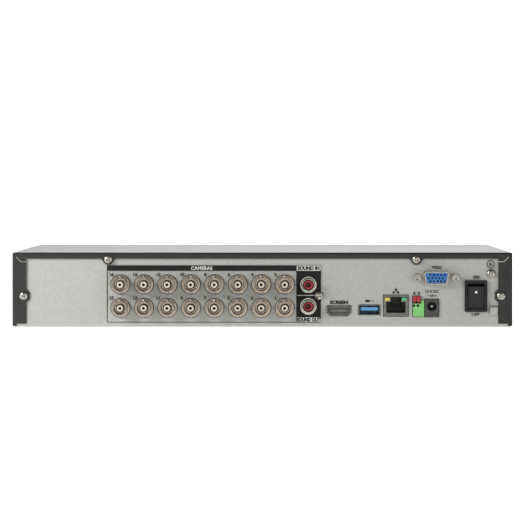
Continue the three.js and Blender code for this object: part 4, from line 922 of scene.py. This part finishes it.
def buildRockerSwitch():
    r = rockerSizes
    low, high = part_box("rocker_switch_frame")
    centre = (low + high) / 2
    axis = (centre.x, wallY, centre.z)
    front, back, deep = (low.y - wallY) / mm, (high.y - wallY) / mm, r["bodyDeep"]
    outline = boxOutline(low.x, high.x, low.z, high.z, r["corner"] * mm, 6)
    rim = addPrism("rockerSwitchFrame", outline, low.y, wallY - 0.1 * mm)
    x, z = r["bodyW"] / 2, r["bodyT"] / 2
    body = addBlockAt("body", axis, (-x, -0.6, -z), (x, deep, z))
    x, z = r["pocketW"] / 2, r["pocketT"] / 2
    for part in (rim, body):
        cutAway(part, addBlockAt("pocket", axis, (-x, front - 1, -z), (x, r["floor"], z)))
    roundEdges(rim, 0.3, 3)
    roundEdges(body, 0.2)
    blades = []
    for x in (-r["bladeX"], r["bladeX"]):
        for z in (-r["bladeZ"], r["bladeZ"]):
            blade = addBlockAt("blade", axis, (x - 0.4, deep - 0.5, z - 2.4), (x + 0.4, back, z + 2.4))
            blades.append(roundEdges(blade, 0.15))
    finishPiece(joinPieces("rockerSwitchFrame", [rim, body]), rockerPlastic, "black_plastic",
                "rocker_switch_frame")
    finishPiece(joinPieces("rockerSwitchBlades", blades), brightSteel, "bright_steel")
    paddle = roundEdges(finishedCopy("rocker_switch_paddle"), 0.4, 3, 20)
    finishPiece(paddle, rockerPlastic, "grey_plastic", "rocker_switch_paddle", body="power_rocker")
    # a white dot printed on the upper half, which stands out while the switch is off
    pivot = Vector((centre.x, wallY + r["pivotIn"] * mm, centre.z))
    depth = r["waist"] + r["dotHeight"] / r["halfFace"] * r["rise"]
    dot = addPin("rockerSwitchDot", r["dot"], 0, 0, 0.05 * mm, -0.05 * mm)
    roundEdges(dot, 0.03, 2, 50)
    dot.data.transform(Matrix.Translation(pivot) @ Matrix.Rotation(math.radians(r["tilt"]), 4, "X")
                       @ Matrix.Translation((0, -depth * mm, r["dotHeight"] * mm))
                       @ Matrix.Rotation(math.atan2(r["rise"], r["halfFace"]), 4, "X"))
    finishPiece(dot, whiteInk, "light_print", body="power_rocker")


# all in the case's millimetres, counted from its middle and its bottom
printSizes = {"thick": 0.03, "sink": 0.02, "capital": 1.38, "left": -100.9, "bandEnd": 22.1, "right": 38.1,
              "frameTop": 40.1, "bandBottom": 36.6, "frameBottom": 3.2, "line": 0.45}
socketLabels = [  # words, node, x from its middle, foot, height, stretch, boldness
    ("SCREEN", "video_socket_shell", 0, 15.1, 2.1, 1.15, 0.14),
    ("VDU", "monitor_socket_shell", 0.3, 37.9, 2.0, 1.15, 0.07),
    ("ON", "rocker_switch_frame", 0.2, 31.6, 2.0, 1.0, 0.08),
    ("OFF", "rocker_switch_frame", -0.3, 7.2, 2.0, 1.1, 0.08),
    ("12 V DC", "power_jack_body", 0, 22.3, 1.9, 0.95, 0.06),
    ("A", "terminal_block", -2.6, 21.2, 1.9, 1.0, 0.07),
    ("B", "terminal_block", 0.3, 21.2, 1.9, 1.0, 0.07),
]
signs = {  # x and z of the middle from the node's middle and the case's bottom, then the shapes about it
    "plug": {"node": "usb_socket_shell", "x": 0, "z": 17.0,
             "boxes": [(-2.6, 0.2, -0.7, 0.7, 0.25), (2.2, 2.9, -0.4, 0.4, 0.1)],
             "bars": [(0.2, 0, 2.4, 0, 0.35)]},
    "linked boxes": {"node": "network_jack_shell", "x": 0, "z": 23.3,
                     "boxes": [(-0.7, 0.7, 0.6, 1.7, 0.15), (-2.1, -0.8, -1.5, -0.4, 0.15),
                               (0.8, 2.1, -1.5, -0.4, 0.15)],
                     "bars": [(-1.45, 0, 1.45, 0, 0.3), (0, 0, 0, 0.7, 0.3), (-1.45, -0.5, -1.45, 0.1, 0.3),
                              (1.45, -0.5, 1.45, 0.1, 0.3)]},
    "outside minus, centre plus": {"node": "power_jack_body", "x": 0, "z": 20.4,
                                   "rings": [(0.75, 0.22), (0.0001, 0.25)],
                                   "bars": [(-3.1, 0, -0.9, 0, 0.25), (0.2, 0, 3.1, 0, 0.25),
                                            (2.6, -0.5, 2.6, 0.5, 0.25)]},
    "earth": {"node": "ground_screw", "x": -0.2, "overNode": 6.0, "rings": [(2.2, 0.45)],
              "bars": [(0, 1.5, 0, 0, 0.4), (-1.2, 0, 1.2, 0, 0.36), (-0.8, -0.65, 0.8, -0.65, 0.36),
                       (-0.4, -1.3, 0.4, -1.3, 0.36)]},
}


def inCase(node):
    # a node's middle in the case's millimetres
    centre = middle(node)
    return centre.x / mm, (centre.z - caseBottom) / mm


def inkPatch(outline, layer=1):
    # a flat patch of ink lying on the wall; a higher layer lies on a lower one
    top = wallY - layer * printSizes["thick"] * mm
    return addPrism("ink", outline, top, (wallY if layer == 1 else top) + printSizes["sink"] * mm)


def inkText(words, size, x, z, layer=1, stretch=1.0, bold=0.0):
    # lettering as raised ink, its middle at x and its foot at z
    clearSelection()
    bpy.ops.object.text_add(location=(0, 0, 0))
    letters = bpy.context.object
    letters.data.body = words
    letters.data.size = size * printSizes["capital"] * mm
    letters.data.align_x = "CENTER"
    letters.data.resolution_u = 3
    letters.data.offset = bold * mm
    letters.data.extrude = printSizes["thick"] * mm / 2
    bpy.ops.object.convert(target="MESH")
    letters = bpy.context.object
    top = wallY - (layer - 0.5) * printSizes["thick"] * mm
    turned = Matrix.Rotation(math.pi / 2, 4, "X") @ Matrix.Diagonal((stretch, 1, 1, 1))
    letters.data.transform(Matrix.Translation((x * mm, top, caseBottom + z * mm)) @ turned)
    return letters


def inkBar(x0, z0, x1, z1, width, layer=1):
    # a straight printed line between two points
    start, end = Vector((x0, z0)), Vector((x1, z1))
    across = (end - start).orthogonal().normalized() * width / 2
    corners = [start - across, end - across, end + across, start + across]
    return inkPatch([(p.x * mm, caseBottom + p.y * mm) for p in corners], layer)


def inkBox(x0, x1, z0, z1, radius):
    return inkPatch(boxOutline(x0 * mm, x1 * mm, caseBottom + z0 * mm, caseBottom + z1 * mm, radius * mm, 3))


def inkRing(x, z, radius, width):
    top, under, outer = -printSizes["thick"], printSizes["sink"], radius + width
    profile = [(radius, top), (outer, top), (outer, under), (radius, under), (radius, top)]
    return spinProfile("ring", profile, (x * mm, 0, caseBottom + z * mm), wallY, 36)


def inkSign(sign):
    x, z = inCase(sign["node"])
    x += sign["x"]
    z = sign["z"] if "z" in sign else z + sign["overNode"]
    shapes = [inkRing(x, z, *ring) for ring in sign.get("rings", ())]
    for x0, x1, z0, z1, radius in sign.get("boxes", ()):
        shapes.append(inkBox(x + x0, x + x1, z + z0, z + z1, radius))
    for x0, z0, x1, z1, width in sign["bars"]:
        shapes.append(inkBar(x + x0, z + z0, x + x1, z + z1, width))
    return shapes


def buildPrint():
    p = printSizes
    left, bandEnd, right = p["left"], p["bandEnd"], p["right"]
    top, bandBottom, bottom = p["frameTop"], p["bandBottom"], p["frameBottom"]
    # frame round the coaxial sockets, with the heading band and the block behind the audio jacks
    dark = [inkBox(left, bandEnd, bandBottom, top, 0.15),
            inkBar(left + 0.15, bandBottom, left + 0.15, bottom, p["line"]),
            inkBar(left, bottom, right, bottom, p["line"]), inkBox(bandEnd, right, 6.4, 36.5, 0.1)]
    light = []
    for z0, z1 in ((3.3, 6.4), (36.5, top)):
        light.append(inkBox(bandEnd + 0.3, right - 0.3, z0 + 0.15, z1 - 0.15, 0.1))
        dark += [inkBar(x, z0, x, z1, 0.3) for x in (bandEnd + 0.1, right - 0.15)]
    dark.append(inkBar(bandEnd, top - 0.1, right, top - 0.1, 0.25))
    light.append(inkBar(bandEnd + 0.4, 20.6, right - 0.4, 20.6, 0.4, 2))
    light.append(inkText("CAMERAS", 2.3, -39.4, 37.2, 2, bold=0.08))
    dark.append(inkText("SOUND IN", 2.3, 30.1, 37.2, 2, 0.93, 0.2))
    dark.append(inkText("SOUND OUT", 2.3, 30.1, 3.75, 2, 0.8, 0.2))
    for i, node in enumerate(barrelNodes):  # channel numbers, upper left of each socket
        x, z = inCase(node)
        dark.append(inkText(str(i + 1), 2.1, x - 6.0, z + 5.4, bold=0.11))
    for words, node, dx, foot, size, stretch, bold in socketLabels:
        dark.append(inkText(words, size, inCase(node)[0] + dx, foot, 1, stretch, bold))
    for sign in signs.values():
        dark += inkSign(sign)
    finishPiece(joinPieces("darkPrint", dark), darkInk, "dark_print", smooth=0)
    finishPiece(joinPieces("lightPrint", light), lightInk, "light_print", smooth=0)


footSizes = {"radius": 7.0, "taper": 0.6, "height": 2.5, "stem": 1.7, "stemLength": 3.2}


def buildFrontAndFeet():
    finishFrameShape("front_bezel", 0.35, bezelPlastic, "black_plastic", 3)
    finishFrameShape("front_window", 0.2, windowPlastic, "smoked_window", 3)
    f = footSizes
    radius, stem, top, sole = f["radius"], f["stem"], f["stemLength"], -f["height"]
    tread = radius - f["taper"]
    for node in footNodes:
        centre = middle(node)
        foot = spinProfile(titled(node), [
            (0, top - 0.1), (stem, top - 0.3), (stem, -0.1), (radius - 0.3, -0.1), (radius, -0.5),
            (tread, sole + 0.35), (tread - 0.35, sole), (4.7, sole), (4.3, sole + 0.6), (1.6, sole + 0.7),
            (1.4, sole + 1.2), (0, sole + 1.2)], (0, 0, 0), 0)
        seat = Matrix.Translation((centre.x, centre.y, caseBottom))
        foot.data.transform(seat @ Matrix.Rotation(math.pi / 2, 4, "X"))
        finishPiece(foot, rubber, "rubber", node)


boardSizes = {"thick": 1.6, "lift": 0.05, "flat": 2.5, "squat": 5.5, "medium": 9.5, "rounding": 0.15,
              "lampWidest": 5.0, "tongueWidth": 10.6, "tongueThick": 1.7, "tongueBack": 0.9,
              "contactPitch": 2.3}


def cutCopy(node, name, place, keep):
    # the frame's shape on the side of a plane that keep points to, capped at the cut
    piece = finishedCopy(node)
    piece.name = name
    startEdit(piece, "SELECT")
    bpy.ops.mesh.bisect(plane_co=place, plane_no=keep, use_fill=True, clear_inner=True, threshold=weld)
    endEdit()
    return piece


def loosePieces(piece):
    before = set(bpy.data.objects)
    startEdit(piece, "SELECT")
    bpy.ops.mesh.separate(type="LOOSE")
    endEdit()
    found = [piece] + list(set(bpy.data.objects) - before)
    return sorted(found, key=lambda item: tuple(round(v, 5) for v in item.data.vertices[0].co))


def buildBoards():
    b = boardSizes
    sheet = (b["thick"] + b["lift"]) * mm
    top = Vector((0, 0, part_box("main_board")[0].z + sheet))
    finishPiece(cutCopy("main_board", "mainBoardSheet", top, (0, 0, -1)), boardMask, "circuit_board",
                "main_board")
    kinds = [  # name, height it stays under, finish
        ("mainBoardChips", b["flat"], blackPlastic, "black_plastic"),
        ("mainBoardCoils", b["squat"], dullSteel, "dark_steel"),
        ("mainBoardSockets", b["medium"], creamPlastic, "cream_plastic"),
        ("mainBoardCapacitors", math.inf, brightSteel, "bright_steel"),
    ]
    groups = {kind[0]: [] for kind in kinds}
    for part in loosePieces(cutCopy("main_board", "mainBoardPart", top, (0, 0, 1))):
        tall = (max(v.co.z for v in part.data.vertices) - top.z) / mm
        name = next(kind[0] for kind in kinds if tall < kind[1])
        groups[name].append(roundEdges(part, b["rounding"], 2, 50))
    for name, _, material, slot in kinds:
        if groups[name]:
            finishPiece(joinPieces(name, groups[name]), material, slot)
    face = Vector((0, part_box("front_board")[0].y + sheet, 0))
    finishPiece(cutCopy("front_board", "frontBoardSheet", face, (0, -1, 0)), boardMask, "circuit_board",
                "front_board")
    lamps = []
    for part in loosePieces(cutCopy("front_board", "frontBoardPart", face, (0, 1, 0))):
        xs, ys, zs = zip(*[v.co for v in part.data.vertices])
        if max(xs) - min(xs) < b["lampWidest"] * mm:
            lamps.append(roundEdges(part, 0.3, 2, 50))
            continue
        middleX, middleZ, mouth = (min(xs) + max(xs)) / 2, (min(zs) + max(zs)) / 2, max(ys)
        finishPiece(roundEdges(part, 0.12, 2, 50), brightSteel, "bright_steel")
        part.name = "frontUsbShell"
        half, foot = b["tongueWidth"] / 2 * mm, middleZ + 0.1 * mm
        tongue = addBlock("frontUsbTongue", (middleX - half, face.y + 1.3 * mm, foot),
                          (middleX + half, mouth - b["tongueBack"] * mm, foot + b["tongueThick"] * mm))
        finishPiece(roundEdges(tongue, 0.2), blackPlastic, "black_plastic")
        addContacts("frontUsbContacts", 4, b["contactPitch"], middleX, 0.5,
                    (face.y + 1.4 * mm, mouth - 1.5 * mm), (middleZ, middleZ + 0.15 * mm), 0.05)
    finishPiece(joinPieces("frontLamps", lamps), greenLens, "circuit_board")


insideFinishes = {"heat_sink": aluminium, "hard_drive": casting, "drive_cable": jacketVinyl,
                  "switch_lead": jacketVinyl, "front_board_cable": jacketVinyl}


def finishInside():
    # these keep the frame's shapes and take real finishes
    for node, material in insideFinishes.items():
        frame["nodes"][node].data.materials.clear()
        frame["nodes"][node].data.materials.append(material)


builds = {
    "sheet metal": buildSheets, "screws": buildScrews, "coaxial sockets": buildCoaxialSockets,
    "audio jacks": buildAudioJacks, "video socket": buildVideoSocket, "usb socket": buildUsbSocket,
    "network jack": buildNetworkJack, "terminal block": buildTerminalBlock, "power jack": buildPowerJack,
    "monitor socket": buildMonitorSocket, "rocker switch": buildRockerSwitch, "printing": buildPrint,
    "bezel, window and feet": buildFrontAndFeet, "circuit boards": buildBoards,
    "inside finishes": finishInside,
}
for stage, build in builds.items():
    build()
    print(stage, "done")
